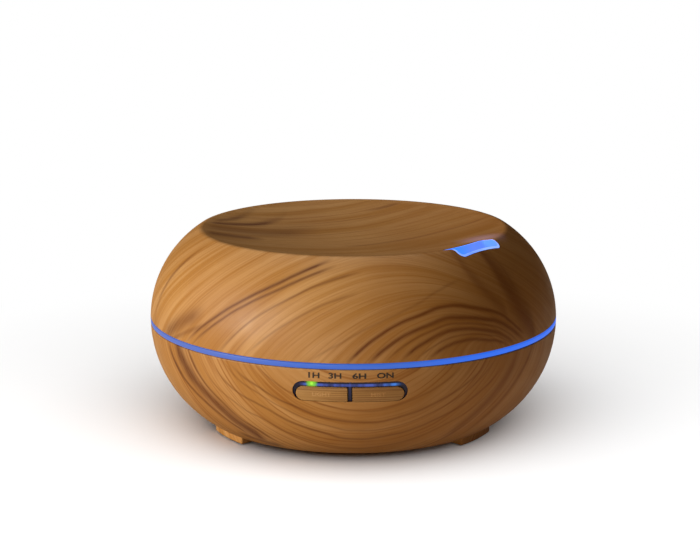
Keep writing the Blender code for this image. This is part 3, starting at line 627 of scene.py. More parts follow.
class Effects:
    """Node groups that more than one finish uses, each built once."""

    def __init__(self) -> None:
        """Starts with no group built."""
        self.built: dict[str, bpy.types.NodeTree] = {}

    def start(self, name: str, inputs: dict[str, float | str], outputs: Sequence[str],
              ) -> tuple[Graph, Any, Any]:
        """Makes an empty group with its sockets.

        Args:
            name: Name of the group.
            inputs: Default of each input, or the word Vector for a vector.
            outputs: Names of the outputs, which are numbers.

        Returns:
            The graph to fill, the inputs' node and the outputs' node.
        """
        tree = bpy.data.node_groups.new(name, "ShaderNodeTree")
        for key, value in inputs.items():
            kind = "NodeSocketVector" if value == "Vector" else "NodeSocketFloat"
            socket = tree.interface.new_socket(key, in_out="INPUT", socket_type=kind)
            if value != "Vector":
                socket.default_value = value
        for key in outputs:
            tree.interface.new_socket(key, in_out="OUTPUT", socket_type="NodeSocketFloat")
        self.built[name] = tree
        return Graph(tree), tree.nodes.new("NodeGroupInput"), tree.nodes.new("NodeGroupOutput")

    def unroll(self) -> bpy.types.NodeTree:
        """Group that lays the body out flat.

        Returns:
            Group with Run and Sweep round the body, Height, Radius, East and North, all in millimetres.
        """
        if "unroll" in self.built:
            return self.built["unroll"]
        outputs = ("Run", "Sweep", "Height", "Radius", "East", "North")
        g, given, made = self.start("unroll", {"Position": "Vector", "Turn": 0.0}, outputs)
        parts = g.node("SeparateXYZ")
        g.feed(parts.inputs[0], given.outputs["Position"])
        x, y, z = (g.math("MULTIPLY", part, 1000.0) for part in parts.outputs)
        azimuth = g.math("ARCTAN2", x, g.math("MULTIPLY", y, -1.0))
        turn = g.math("WRAP", g.math("SUBTRACT", azimuth, given.outputs["Turn"]), math.pi, -math.pi)
        radius = g.hypot(x, y)
        run, sweep = g.math("MULTIPLY", turn, BODY_MM), g.math("MULTIPLY", g.math("SINE", turn), BODY_MM)
        for name, value in zip(outputs, (run, sweep, z, radius, x, y)):
            g.feed(made.inputs[name], value)
        return g.tree

    def rings(self) -> bpy.types.NodeTree:
        """Group of growth rings whose middle drifts as they widen.

        Returns:
            Group that gives the ring's radius in millimetres.
        """
        if "rings" in self.built:
            return self.built["rings"]
        inputs = {"Run": 0.0, "Sweep": 0.0, "Rise": 0.0, "Drift Run": 0.0, "Drift Rise": 0.0, "Slack": 1.0}
        g, given, made = self.start("rings", inputs, ("Ring",))
        run, sweep, rise, drift_run, drift_rise, slack = given.outputs[:6]
        lean = g.math("ADD", g.math("MULTIPLY", sweep, drift_run), g.math("MULTIPLY", rise, drift_rise))
        square = g.math("ADD", g.math("MULTIPLY", run, run), g.math("MULTIPLY", rise, rise))
        inside = g.math("ADD", g.math("MULTIPLY", lean, lean), g.math("MULTIPLY", square, slack))
        root = g.math("SQRT", inside)
        g.feed(made.inputs["Ring"], g.math("DIVIDE", g.math("SUBTRACT", root, lean), slack))
        return g.tree

    def grain(self) -> bpy.types.NodeTree:
        """Group that draws wood grain along growth rings.

        Returns:
            Group with Figure, Line, Pin and Fibre, each between 0 and 1.
        """
        if "grain" in self.built:
            return self.built["grain"]
        inputs = {"Ring": 0.0, "Position": "Vector", "Seed": 0.0, "Warp": 3.0, "Pitch": 1.8}
        g, given, made = self.start("grain", inputs, ("Figure", "Line", "Pin", "Fibre"))
        place_, seed = given.outputs["Position"], given.outputs["Seed"]
        drift = g.math("SUBTRACT", g.noise(place_, 24.0, 2.0), 0.5)
        fine_drift = g.math("SUBTRACT", g.noise(place_, 110.0, 2.0), 0.5)
        moved = g.math("MULTIPLY", drift, given.outputs["Warp"])
        fine_warp = g.math("MULTIPLY", given.outputs["Warp"], 0.16)
        moved = g.math("ADD", moved, g.math("MULTIPLY", fine_drift, fine_warp))
        ring = g.math("ADD", given.outputs["Ring"], moved)
        parts = g.node("SeparateXYZ")
        g.feed(parts.inputs[0], place_)

        def layer(step: float, run: float, detail: float) -> bpy.types.NodeSocket:
            """Noise drawn out along the grain.

            Args:
                step: Distance across the grain in millimetres.
                run: Distance along it in millimetres.
                detail: Number of finer layers.

            Returns:
                The value.
            """
            across = g.math("ADD", g.math("DIVIDE", ring, step), seed)
            along = [g.math("MULTIPLY", part, 1000.0 / run) for part in parts.outputs]
            side = g.math("ADD", along[1], along[2])
            return g.noise(g.combine(across, along[0], side), 1.0, detail)

        figure = g.remap(layer(7.0, 110.0, 3.0), 0.34, 0.68)
        line = g.remap(layer(2.1, 75.0, 3.0), 0.53, 0.72)
        swell = g.math("MULTIPLY", layer(4.0, 60.0, 1.0), 5.0)
        pitch = g.math("DIVIDE", given.outputs["Pitch"], math.tau)
        phase = g.math("ADD", g.math("DIVIDE", ring, pitch), swell)
        wave = g.math("POWER", g.math("MULTIPLY_ADD", g.math("SINE", phase), 0.5, 0.5), 5.0)
        pin = g.math("MULTIPLY", wave, g.remap(layer(5.0, 40.0, 2.0), 0.35, 0.65))
        fibre = g.remap(layer(0.32, 9.0, 2.0), 0.3, 0.7)
        for name, value in (("Figure", figure), ("Line", line), ("Pin", pin), ("Fibre", fibre)):
            g.feed(made.inputs[name], value)
        return g.tree

    def stroke(self) -> bpy.types.NodeTree:
        """Group that draws one curved streak of the grain.

        Returns:
            Group that gives the streak's mask.
        """
        if "stroke" in self.built:
            return self.built["stroke"]
        inputs = {"Run": 0.0, "Rise": 0.0, "Middle Run": 0.0, "Middle Rise": 0.0, "Radius": 10.0,
                  "Width": 1.0, "From": -10.0, "To": 10.0, "Fade": 5.0}
        g, given, made = self.start("stroke", inputs, ("Mask",))
        run, rise, mid_run, mid_rise, radius, width, start, end, fade = given.outputs[:9]
        a, b = g.math("SUBTRACT", run, mid_run), g.math("SUBTRACT", rise, mid_rise)
        reach = g.hypot(a, b)
        off = g.math("DIVIDE", g.math("SUBTRACT", reach, radius), width)
        ridge = g.math("EXPONENT", g.math("MULTIPLY", g.math("MULTIPLY", off, off), -1.0))
        opening = g.math("DIVIDE", g.math("SUBTRACT", run, start), fade, clamp=True)
        closing = g.math("DIVIDE", g.math("SUBTRACT", end, run), fade, clamp=True)
        g.feed(made.inputs["Mask"], g.math("MULTIPLY", ridge, g.math("MULTIPLY", opening, closing)))
        return g.tree

    def moulded(self) -> bpy.types.NodeTree:
        """Group for the fine texture, soft mottling and dust of moulded and metal parts.

        Returns:
            Group with Mottle, Texture and Dust, each between 0 and 1.
        """
        if "moulded" in self.built:
            return self.built["moulded"]
        inputs = {"Position": "Vector", "Stretch": 1.0}
        g, given, made = self.start("moulded", inputs, ("Mottle", "Texture", "Dust"))
        parts = g.node("SeparateXYZ")
        g.feed(parts.inputs[0], given.outputs["Position"])
        x, y, z = parts.outputs
        drawn = g.combine(x, y, g.math("MULTIPLY", z, given.outputs["Stretch"]))
        g.feed(made.inputs["Mottle"], g.remap(g.noise(drawn, 120.0, 3.0), 0.3, 0.7))
        g.feed(made.inputs["Texture"], g.noise(drawn, 2600.0, 2.0))
        g.feed(made.inputs["Dust"], g.remap(g.noise(given.outputs["Position"], 900.0, 4.0, 0.7), 0.58, 0.75))
        return g.tree


# ---- Finishes ------------------------------------------------------------------------------------
def start_material(name: str) -> tuple[bpy.types.Material, Graph, bpy.types.Node, bpy.types.NodeSocket]:
    """Makes a material with its shader and the piece's own coordinates.

    Args:
        name: Name of the material.

    Returns:
        The material, its graph, its Principled shader and the coordinates.
    """
    made = bpy.data.materials.new(name)
    made.use_nodes = True
    graph = Graph(made.node_tree)
    shader = made.node_tree.nodes["Principled BSDF"]
    return made, graph, shader, graph.node("TexCoord").outputs["Object"]


def set_relief(graph: Graph, shader: bpy.types.Node, height: Any, distance: float, strength: float) -> None:
    """Gives a shader a bumped normal.

    Args:
        graph: Graph of the material.
        shader: Its shader.
        height: Height of the relief, between 0 and 1.
        distance: Height in metres that 1 stands for.
        strength: Strength of the bump.
    """
    bump = graph.node("Bump")
    bump.inputs["Distance"].default_value = distance
    bump.inputs["Strength"].default_value = strength
    graph.feed(bump.inputs["Height"], height)
    graph.feed(shader.inputs["Normal"], bump.outputs["Normal"])


def set_glow(graph: Graph, shader: bpy.types.Node, colour: Any, strength: float = 1.0) -> None:
    """Gives a shader a glow of its own.

    Args:
        graph: Graph of the material.
        shader: Its shader.
        colour: Colour of the glow.
        strength: Its strength.
    """
    graph.feed(shader.inputs["Emission Color"], colour)
    shader.inputs["Emission Strength"].default_value = strength


def set_roughness(graph: Graph, shader: bpy.types.Node, detail: bpy.types.Node, spread: float,
                  low: float) -> None:
    """Gives a shader a roughness that follows the mottling.

    Args:
        graph: Graph of the material.
        shader: Its shader.
        detail: Node of the moulded group.
        spread: How much the mottling adds.
        low: Roughness where there is none.
    """
    graph.feed(shader.inputs["Roughness"], graph.math("MULTIPLY_ADD", detail.outputs["Mottle"], spread, low))


@dataclass(frozen=True)
class Finish:
    """Finish of a surface. Each kind fills its own material in paint()."""

    name: str

    def make(self, effects: Effects) -> bpy.types.Material:
        """Makes the material.

        Args:
            effects: Shared groups.

        Returns:
            The material.
        """
        made, graph, shader, place_ = start_material(self.name)
        self.paint(graph, shader, place_, effects)
        return made

    def paint(self, g: Graph, shader: bpy.types.Node, place_: Any, effects: Effects) -> None:
        """Fills the material.

        Args:
            g: Graph of the material.
            shader: Its shader.
            place_: The piece's own coordinates.
            effects: Shared groups.
        """
        raise NotImplementedError


@dataclass(frozen=True)
class Stroke:
    """One streak of the grain through three points in millimetres: (Run, Height), or (x, y) in the dish."""

    points: tuple[Point2, Point2, Point2]
    width: float
    depth: float
    fade: float = 8.0

    def circle(self) -> tuple[float, float, float]:
        """Middle and radius of the circle through the three points."""
        (ax, ay), (bx, by), (cx, cy) = self.points
        twist = 2 * (ax * (by - cy) + bx * (cy - ay) + cx * (ay - by))
        a, b, c = (x * x + y * y for x, y in self.points)
        x = (a * (by - cy) + b * (cy - ay) + c * (ay - by)) / twist
        y = (a * (cx - bx) + b * (ax - cx) + c * (bx - ax)) / twist
        return x, y, math.hypot(ax - x, ay - y)

    def mask(self, graph: Graph, effects: Effects, run: Any, rise: Any) -> bpy.types.NodeSocket:
        """Draws the streak.

        Args:
            graph: Graph of the material.
            effects: Shared groups.
            run: Position along the first axis.
            rise: Position along the second.

        Returns:
            The streak's mask times its depth.
        """
        x, y, radius = self.circle()
        low, high = min(p[0] for p in self.points), max(p[0] for p in self.points)
        made = graph.group(effects.stroke(), Run=run, Rise=rise, Middle_Run=x, Middle_Rise=y, Radius=radius,
                           Width=self.width, From=low - self.fade / 2, To=high + self.fade / 2,
                           Fade=self.fade)
        return graph.math("MULTIPLY", made.outputs[0], self.depth)


class Field(Enum):
    """Where a piece of wood film lies, which sets how its growth rings run."""

    COVER = "cover"
    BOWL = "bowl"
    BUTTON = "button"


@dataclass(frozen=True)
class WoodFilm(Finish):
    """Printed wood film over plastic, with a satin top coat, painted shade towards the right, and on the
    cover a painted glow of the outlet's light on the lip.
    """

    field: Field
    pale: Colour = (0.62, 0.322, 0.108)
    honey: Colour = (0.48, 0.215, 0.048)
    amber: Colour = (0.30, 0.095, 0.009)
    bark: Colour = (0.105, 0.024, 0.005)
    # Colour of the painted glow that the outlet's light throws on the lip.
    painted_spill_light: Colour = (0.075, 0.060, 0.110)
    roughness: float = 0.46

    SIDE_STROKES = (
        Stroke(((-70, 48), (-33, 72), (-12, 80)), 0.7, 0.85),
        Stroke(((-66, 48), (-30, 71), (-10, 78)), 0.6, 0.70),
        Stroke(((-51, 48), (-34, 63), (1, 76)), 0.5, 0.50),
        Stroke(((-39, 48), (-18, 63), (1, 70)), 0.5, 0.35),
        Stroke(((-14, 47), (20, 64), (48, 72)), 0.5, 0.30),
        Stroke(((0, 47), (42, 64), (78, 50)), 0.8, 0.98, 5.0),
        Stroke(((8, 47), (45, 60), (76, 49)), 0.9, 0.98, 5.0),
        Stroke(((14, 47), (46, 58), (73, 48)), 0.5, 0.60, 5.0),
        Stroke(((20, 47), (47, 56), (71, 47)), 0.8, 0.90, 5.0),
        Stroke(((26, 47), (48, 54), (69, 47)), 0.4, 0.50, 5.0),
        Stroke(((31, 47), (50, 52), (66, 47)), 0.7, 0.80, 5.0),
        Stroke(((-103, 55), (-98, 67), (-90, 77)), 1.2, 0.55, 6.0),
        Stroke(((70, 81), (77, 62), (86, 47)), 5.0, 0.80, 3.0),
        Stroke(((76, 78), (80, 62), (86, 49)), 1.8, 0.60, 3.0),
        Stroke(((54, 80), (60, 69), (69, 58)), 2.6, 0.50, 3.0),
        Stroke(((-90, 45), (-80, 51), (-66, 58)), 3.2, 0.62),
        Stroke(((-84, 45), (-74, 49), (-60, 55)), 1.2, 0.50),
    )
    BOWL_STROKES = (
        Stroke(((-80, 45), (-64, 26), (-43, 8)), 3.4, 0.90, 5.0),
        Stroke(((-72, 44), (-57, 25), (-38, 9)), 0.9, 0.75, 5.0),
        Stroke(((-86, 42), (-70, 24), (-52, 10)), 1.1, 0.80, 5.0),
        Stroke(((-58, 8), (-50, 7), (-36, 5)), 1.6, 0.70, 6.0),
        Stroke(((74, 42), (60, 24), (46, 10)), 2.6, 0.62, 6.0),
        Stroke(((84, 42), (72, 26), (60, 12)), 1.1, 0.60, 6.0),
        Stroke(((-35, 42), (5, 27), (43, 41)), 0.45, 0.40),
        Stroke(((-45, 40), (5, 22), (53, 39)), 0.55, 0.55),
        Stroke(((-50, 42), (5, 18), (60, 42)), 0.40, 0.40),
        Stroke(((-54, 38), (5, 14), (62, 36)), 0.55, 0.55),
        Stroke(((-62, 38), (5, 8), (70, 38)), 0.45, 0.40),
    )
    DISH_STROKES = (
        Stroke(((-64, 8), (-47, 14), (-34, 27)), 2.6, 0.80),
        Stroke(((-60, 12), (-52, 20), (-46, 31)), 2.0, 0.60),
        Stroke(((-64, -17), (-50, -12), (-38, -8)), 4.2, 0.70),
        Stroke(((-62, 0), (-40, 4), (-20, 16)), 8.0, 0.46, 14.0),
        Stroke(((-1, -11), (30, 5), (56, 21)), 0.8, 0.50),
        Stroke(((7, 49), (14, 52.6), (20, 57)), 1.2, 0.55),
    )

    def side_ring(self, graph: Graph, effects: Effects, place_: Any) -> bpy.types.NodeSocket:
        """Rings of the cover's side, which close in to nested arches at the right of the front.

        Args:
            graph: Graph of the material.
            effects: Shared groups.
            place_: The piece's own coordinates.

        Returns:
            The ring's radius in millimetres.
        """
        drift_run, drift_rise = -0.42, -0.72
        flat = graph.group(effects.unroll(), Position=place_, Turn=math.radians(39))
        rise = graph.math("SUBTRACT", flat.outputs["Height"], 48.6)
        made = graph.group(effects.rings(), Run=flat.outputs["Run"], Sweep=flat.outputs["Sweep"], Rise=rise,
                           Drift_Run=drift_run, Drift_Rise=drift_rise, Slack=1 - drift_run**2 - drift_rise**2)
        return made.outputs[0]

    def bowl_ring(self, graph: Graph, effects: Effects, place_: Any) -> bpy.types.NodeSocket:
        """Rings of the bowl, which hang below the buttons like the bottom of a hoop.

        Args:
            graph: Graph of the material.
            effects: Shared groups.
            place_: The piece's own coordinates.

        Returns:
            The ring's radius in millimetres.
        """
        flat = graph.group(effects.unroll(), Position=place_, Turn=math.radians(3.4))
        rise = graph.math("SUBTRACT", flat.outputs["Height"], 75.0)
        made = graph.group(effects.rings(), Run=flat.outputs["Run"], Sweep=flat.outputs["Sweep"], Rise=rise)
        return made.outputs[0]

    def dish_ring(self, graph: Graph, flat: bpy.types.Node) -> bpy.types.NodeSocket:
        """Rings of the dish, wide enough to look almost straight.

        Args:
            graph: Graph of the material.
            flat: The unrolled coordinates.

        Returns:
            The ring's radius in millimetres.
        """
        a = graph.math("ADD", flat.outputs["East"], 218.0)
        b = graph.math("SUBTRACT", flat.outputs["North"], 452.0)
        return graph.hypot(a, b)

    def layers(self, graph: Graph, grain: bpy.types.Node, strokes: Sequence[bpy.types.NodeSocket],
               strength: float = 1.0) -> tuple[bpy.types.NodeSocket, bpy.types.NodeSocket]:
        """Colours of one field.

        Args:
            graph: Graph of the material.
            grain: The grain group's node.
            strokes: Masks of the streaks.
            strength: Weight of the lines.

        Returns:
            The colour, and how dark the lines are.
        """
        figure, line, pin, fibre = grain.outputs[:4]
        base = graph.mix(figure, self.pale, self.honey)
        base = graph.mix(graph.math("MULTIPLY", pin, 0.60 * strength), base, self.amber)
        base = graph.mix(graph.math("MULTIPLY", line, 0.62 * strength), base, self.amber)
        base = graph.mix(graph.math("MULTIPLY", fibre, 0.16), base, self.amber)
        dark: Any = graph.math("MULTIPLY", graph.math("MULTIPLY", line, pin), 0.35 * strength)
        broken = graph.math("MULTIPLY_ADD", fibre, -0.38, 1.16)
        for mask in strokes:
            dark = graph.math("MAXIMUM", dark, graph.math("MULTIPLY", mask, broken))
        return graph.mix(dark, base, self.bark), dark

    def paint(self, g: Graph, shader: bpy.types.Node, place_: Any, effects: Effects) -> None:
        """Fills the material."""
        flat = g.group(effects.unroll(), Position=place_)
        sway = g.math("MULTIPLY_ADD", g.noise(place_, 46.0, 2.0, 0.35), 4.4, -2.2)
        run, height = g.math("ADD", flat.outputs["Run"], sway), g.math("ADD", flat.outputs["Height"], sway)
        if self.field is Field.BUTTON:
            ring = flat.outputs["Height"]
            grain = g.group(effects.grain(), Ring=ring, Position=place_, Seed=31.0, Warp=0.9, Pitch=0.95)
            colour, dark = self.layers(g, grain, (), 1.6)
        elif self.field is Field.BOWL:
            ring = self.bowl_ring(g, effects, place_)
            grain = g.group(effects.grain(), Ring=ring, Position=place_, Seed=7.0, Warp=3.5, Pitch=2.3)
            masks = [s.mask(g, effects, run, height) for s in self.BOWL_STROKES]
            colour, dark = self.layers(g, grain, masks, 1.15)
        else:
            ring = self.side_ring(g, effects, place_)
            grain = g.group(effects.grain(), Ring=ring, Position=place_, Seed=3.0, Warp=5.0, Pitch=3.1)
            masks = [s.mask(g, effects, run, height) for s in self.SIDE_STROKES]
            side, side_dark = self.layers(g, grain, masks, 0.5)
            ring = self.dish_ring(g, flat)
            grain = g.group(effects.grain(), Ring=ring, Position=place_, Seed=19.0, Warp=5.0, Pitch=3.4)
            east = g.math("ADD", flat.outputs["East"], sway)
            north = g.math("ADD", flat.outputs["North"], sway)
            masks = [s.mask(g, effects, east, north) for s in self.DISH_STROKES]
            dish, dish_dark = self.layers(g, grain, masks, 0.6)
            ragged = g.math("MULTIPLY_ADD", g.noise(place_, 60.0, 1.0), 3.0, -1.5)
            share = g.remap(g.math("ADD", flat.outputs["Radius"], ragged), 57.8, 62.2)
            colour = g.mix(share, dish, side)
            # Painted light: a soft glow of the outlet's light on the lip beside the outlet, laid on the wood
            # as emission.
            off = g.node("VectorMath", operation="DISTANCE")
            g.feed(off.inputs[0], g.combine(flat.outputs["East"], flat.outputs["North"], 0.0))
            off.inputs[1].default_value = (51.0, -20.0, 0.0)
            painted_spill_light = g.remap(off.outputs["Value"], 2.0, 12.0, 1.0, 0.0)
            set_glow(g, shader, g.mix(painted_spill_light, (0.0, 0.0, 0.0), self.painted_spill_light))
            dark = g.math("MAXIMUM", g.math("MULTIPLY", side_dark, share),
                          g.math("MULTIPLY", dish_dark, g.math("SUBTRACT", 1.0, share)))
        tone = g.noise(place_, 30.0, 3.0)
        colour = g.mix(g.remap(tone, 0.35, 0.7, 0.0, 0.22), colour, self.amber)
        # Painted shade: the wood turns towards amber further to the right, away from the key light.
        colour = g.mix(g.remap(flat.outputs["East"], -30.0, 75.0, 0.0, 0.5), colour, self.amber)
        g.feed(shader.inputs["Base Color"], colour)
        detail = g.group(effects.moulded(), Position=place_)
        rough = g.math("MULTIPLY_ADD", detail.outputs["Mottle"], 0.08, self.roughness - 0.04)
        g.feed(shader.inputs["Roughness"], g.math("MULTIPLY_ADD", dark, 0.08, rough))
        shader.inputs["IOR"].default_value = 1.45
        shader.inputs["Specular IOR Level"].default_value = 0.3
        texture = g.math("MULTIPLY", detail.outputs["Texture"], 0.5)
        height = g.math("SUBTRACT", texture, g.math("MULTIPLY", dark, 0.3))
        set_relief(g, shader, height, 0.00003, 0.5)


@dataclass(frozen=True)
class Moulded(Finish):
    """Moulded plastic, rubber or silicone with fine texture, mottling and a little dust."""

    colour: Colour
    roughness: float = 0.45
    shade: float = 0.82
    relief: float = 0.00004
    dust: float = 0.06
    transmission: float = 0.0

    def paint(self, g: Graph, shader: bpy.types.Node, place_: Any, effects: Effects) -> None:
        """Fills the material."""
        detail = g.group(effects.moulded(), Position=place_)
        darker = tuple(c * self.shade for c in self.colour)
        colour = g.mix(detail.outputs["Mottle"], self.colour, darker)
        dusty = g.math("MULTIPLY", detail.outputs["Dust"], self.dust)
        g.feed(shader.inputs["Base Color"], g.mix(dusty, colour, (0.55, 0.53, 0.50)))
        rough = g.math("MULTIPLY_ADD", detail.outputs["Mottle"], 0.10, self.roughness - 0.05)
        g.feed(shader.inputs["Roughness"], g.math("ADD", rough, dusty))
        shader.inputs["Transmission Weight"].default_value = self.transmission
        set_relief(g, shader, detail.outputs["Texture"], self.relief, 0.6)


@dataclass(frozen=True)
class Metal(Finish):
    """Bare or plated metal with drawn scratches and tarnish."""

    colour: Colour
    roughness: float = 0.30
    stretch: float = 0.08
    tarnish: float = 0.25

    def paint(self, g: Graph, shader: bpy.types.Node, place_: Any, effects: Effects) -> None:
        """Fills the material."""
        detail = g.group(effects.moulded(), Position=place_, Stretch=self.stretch)
        dull = tuple(c * 0.55 for c in self.colour)
        g.feed(shader.inputs["Base Color"], g.mix(g.math("MULTIPLY", detail.outputs["Mottle"], self.tarnish),
                                                  self.colour, dull))
        shader.inputs["Metallic"].default_value = 1.0
        set_roughness(g, shader, detail, 0.18, self.roughness - 0.08)
        set_relief(g, shader, detail.outputs["Texture"], 0.00002, 0.5)


@dataclass(frozen=True)
class CircuitBoard(Finish):
    """Green solder mask over copper traces, with pads."""

    mask: Colour = (0.012, 0.10, 0.035)
    trace: Colour = (0.03, 0.19, 0.06)
    pitch: float = 650.0

    def paint(self, g: Graph, shader: bpy.types.Node, place_: Any, effects: Effects) -> None:
        """Fills the material."""
        cells = g.node("TexVoronoi", feature="DISTANCE_TO_EDGE", distance="MANHATTAN")
        g.feed(cells.inputs["Vector"], place_)
        cells.inputs["Scale"].default_value = self.pitch * 0.35
        tracks = g.remap(cells.outputs["Distance"], 0.03, 0.07, 1.0, 0.0)
        dots = g.node("TexVoronoi")
        g.feed(dots.inputs["Vector"], place_)
        dots.inputs["Scale"].default_value = self.pitch * 0.45
        pads = g.remap(dots.outputs["Distance"], 0.12, 0.17, 1.0, 0.0)
        colour = g.mix(tracks, self.mask, self.trace)
        g.feed(shader.inputs["Base Color"], g.mix(pads, colour, (0.55, 0.52, 0.46)))
        g.feed(shader.inputs["Roughness"], g.math("MULTIPLY_ADD", pads, -0.1, 0.38))
        set_relief(g, shader, g.math("ADD", tracks, pads), 0.00004, 0.6)


@dataclass(frozen=True)
class Winding(Finish):
    """Enamelled copper wire wound in close turns, with painted shade between the turns."""

    colour: Colour = (0.62, 0.25, 0.09)
    turns: float = 2400.0

    def paint(self, g: Graph, shader: bpy.types.Node, place_: Any, effects: Effects) -> None:
        """Fills the material."""
        parts = g.node("SeparateXYZ")
        g.feed(parts.inputs[0], place_)
        turn = g.math("ABSOLUTE", g.math("SINE", g.math("MULTIPLY", parts.outputs[2], self.turns * math.pi)))
        detail = g.group(effects.moulded(), Position=place_)
        # Painted shade: the wire darkens to a third of its colour in the grooves between turns.
        dark = tuple(c * 0.3 for c in self.colour)
        g.feed(shader.inputs["Base Color"], g.mix(turn, dark, self.colour))
        set_roughness(g, shader, detail, 0.15, 0.28)
        shader.inputs["Metallic"].default_value = 1.0
        set_relief(g, shader, turn, 0.0001, 0.8)


@dataclass(frozen=True)
class RingGlow(Finish):
    """Light ring lit from inside, a little cooler to the left and stronger to the right."""

    left: Colour = (0.100, 0.160, 0.500)
    middle: Colour = (0.036, 0.120, 0.520)
    right: Colour = (0.018, 0.150, 0.900)
    edge: Colour = (0.010, 0.030, 0.150)

    def paint(self, g: Graph, shader: bpy.types.Node, place_: Any, effects: Effects) -> None:
        """Fills the material."""
        flat = g.group(effects.unroll(), Position=place_)
        east = flat.outputs["East"]
        lit = g.mix(g.remap(east, -70.0, -10.0), self.left, self.middle)
        lit = g.mix(g.remap(east, 5.0, 60.0), lit, self.right)
        tall = g.math("MULTIPLY", flat.outputs["Height"], 9.0)
        streak = g.noise(g.combine(flat.outputs["Run"], 0.0, tall), 0.12)
        lit = g.mix(g.remap(streak, 0.3, 0.7, 0.0, 0.22), lit, self.left)
        off = g.math("ABSOLUTE", g.math("SUBTRACT", flat.outputs["Height"], 44.4))
        lit = g.mix(g.remap(off, 0.75, 1.2, 0.0, 0.45), lit, self.edge)
        set_glow(g, shader, lit)
        g.feed(shader.inputs["Base Color"], g.mix(0.5, (0.0, 0.0, 0.0), self.edge))
        detail = g.group(effects.moulded(), Position=place_)
        set_roughness(g, shader, detail, 0.1, 0.35)
        set_relief(g, shader, detail.outputs["Texture"], 0.00002, 0.4)


@dataclass(frozen=True)
class OutletGlow(Finish):
    """Mist outlet lit from inside, turning from clear blue to violet, with painted shade deeper down the
    tube.
    """

    azimuth: float
    deep: Colour = (0.030, 0.235, 0.98)
    violet: Colour = (0.130, 0.215, 0.98)
    # Navy of the moulding, also mixed in as painted shade deeper down the tube.
    dusk: Colour = (0.004, 0.014, 0.120)

    def paint(self, g: Graph, shader: bpy.types.Node, place_: Any, effects: Effects) -> None:
        """Fills the material."""
        flat = g.group(effects.unroll(), Position=place_, Turn=self.azimuth)
        run, height = flat.outputs["Sweep"], flat.outputs["Height"]
        lit = g.mix(g.remap(run, -12.0, 16.0), self.deep, self.violet)
        patches = g.noise(place_, 160.0, 2.0)
        lit = g.mix(g.remap(patches, 0.35, 0.7, 0.0, 0.25), lit, self.deep)
        # Painted shade: deeper down the tube, below 74 mm, the glow is mixed towards dusk.
        lit = g.mix(g.remap(height, 70.0, 74.0, 0.55, 0.0), lit, self.dusk)
        set_glow(g, shader, lit)
        g.feed(shader.inputs["Base Color"], g.mix(0.6, self.dusk, self.deep))
        detail = g.group(effects.moulded(), Position=place_)
        set_roughness(g, shader, detail, 0.1, 0.3)
        set_relief(g, shader, detail.outputs["Texture"], 0.00002, 0.4)


@dataclass(frozen=True)
class RimGlow(Finish):
    """Upper edge of the mist outlet, where the light comes out palest."""

    pale: Colour = (0.30, 0.46, 1.0)
    blue: Colour = (0.10, 0.24, 0.95)

    def paint(self, g: Graph, shader: bpy.types.Node, place_: Any, effects: Effects) -> None:
        """Fills the material."""
        detail = g.group(effects.moulded(), Position=place_)
        set_glow(g, shader, g.mix(detail.outputs["Mottle"], self.pale, self.blue))
        g.feed(shader.inputs["Base Color"], g.mix(detail.outputs["Mottle"], self.blue, self.pale))
        set_roughness(g, shader, detail, 0.1, 0.3)
        set_relief(g, shader, detail.outputs["Texture"], 0.00002, 0.4)


@dataclass(frozen=True)
class SmokyWindow(Finish):
    """Smoky frame round the buttons: lit blue along the top, green at the timer light that is on."""

    band: Colour = (0.050, 0.090, 0.400)
    cyan: Colour = (0.040, 0.200, 0.700)
    green: Colour = (0.230, 0.720, 0.012)
    core: Colour = (0.420, 1.0, 0.060)
    smoke: Colour = (0.010, 0.008, 0.022)
    haze: Colour = (0.016, 0.014, 0.030)
    light_run: float = -14.2
    light_height: float = 37.5
    button_top: float = 36.2

    def paint(self, g: Graph, shader: bpy.types.Node, place_: Any, effects: Effects) -> None:
        """Fills the material."""
        flat = g.group(effects.unroll(), Position=place_)
        x, z = flat.outputs["East"], flat.outputs["Height"]
        above = g.remap(z, self.button_top + 0.25, self.button_top + 0.6)
        below = g.remap(z, 37.45, 37.8, 1.0, 0.0)
        ends = g.remap(g.math("ABSOLUTE", x), 16.5, 19.5, 1.0, 0.05)
        patchy = g.remap(g.noise(g.combine(x, 0.0, 0.0), 0.22, 2.0), 0.38, 0.62, 0.25, 1.0)
        glow = g.math("MULTIPLY", g.math("MULTIPLY", above, below), g.math("MULTIPLY", ends, patchy))
        beside = g.remap(g.math("ABSOLUTE", x), 0.1, 0.5, 0.14, 0.0)
        divider = g.math("MULTIPLY", beside, g.remap(z, 30.0, 37.0))
        colour = g.mix(g.remap(x, 10.0, 17.0), self.band, self.cyan)
        lit = g.mix(g.math("ADD", glow, divider, clamp=True), (0.0, 0.0, 0.004), colour)
        a, b = g.math("SUBTRACT", x, self.light_run), g.math("SUBTRACT", z, self.light_height)
        reach = g.hypot(a, b)
        lit = g.mix(g.remap(reach, 0.9, 2.6, 0.85, 0.0), lit, self.green)
        lit = g.mix(g.remap(reach, 0.2, 0.9, 1.0, 0.0), lit, self.core)
        set_glow(g, shader, lit)
        detail = g.group(effects.moulded(), Position=place_)
        g.feed(shader.inputs["Base Color"], g.mix(detail.outputs["Mottle"], self.smoke, self.haze))
        set_roughness(g, shader, detail, 0.08, 0.22)
        set_relief(g, shader, detail.outputs["Texture"], 0.00002, 0.4)


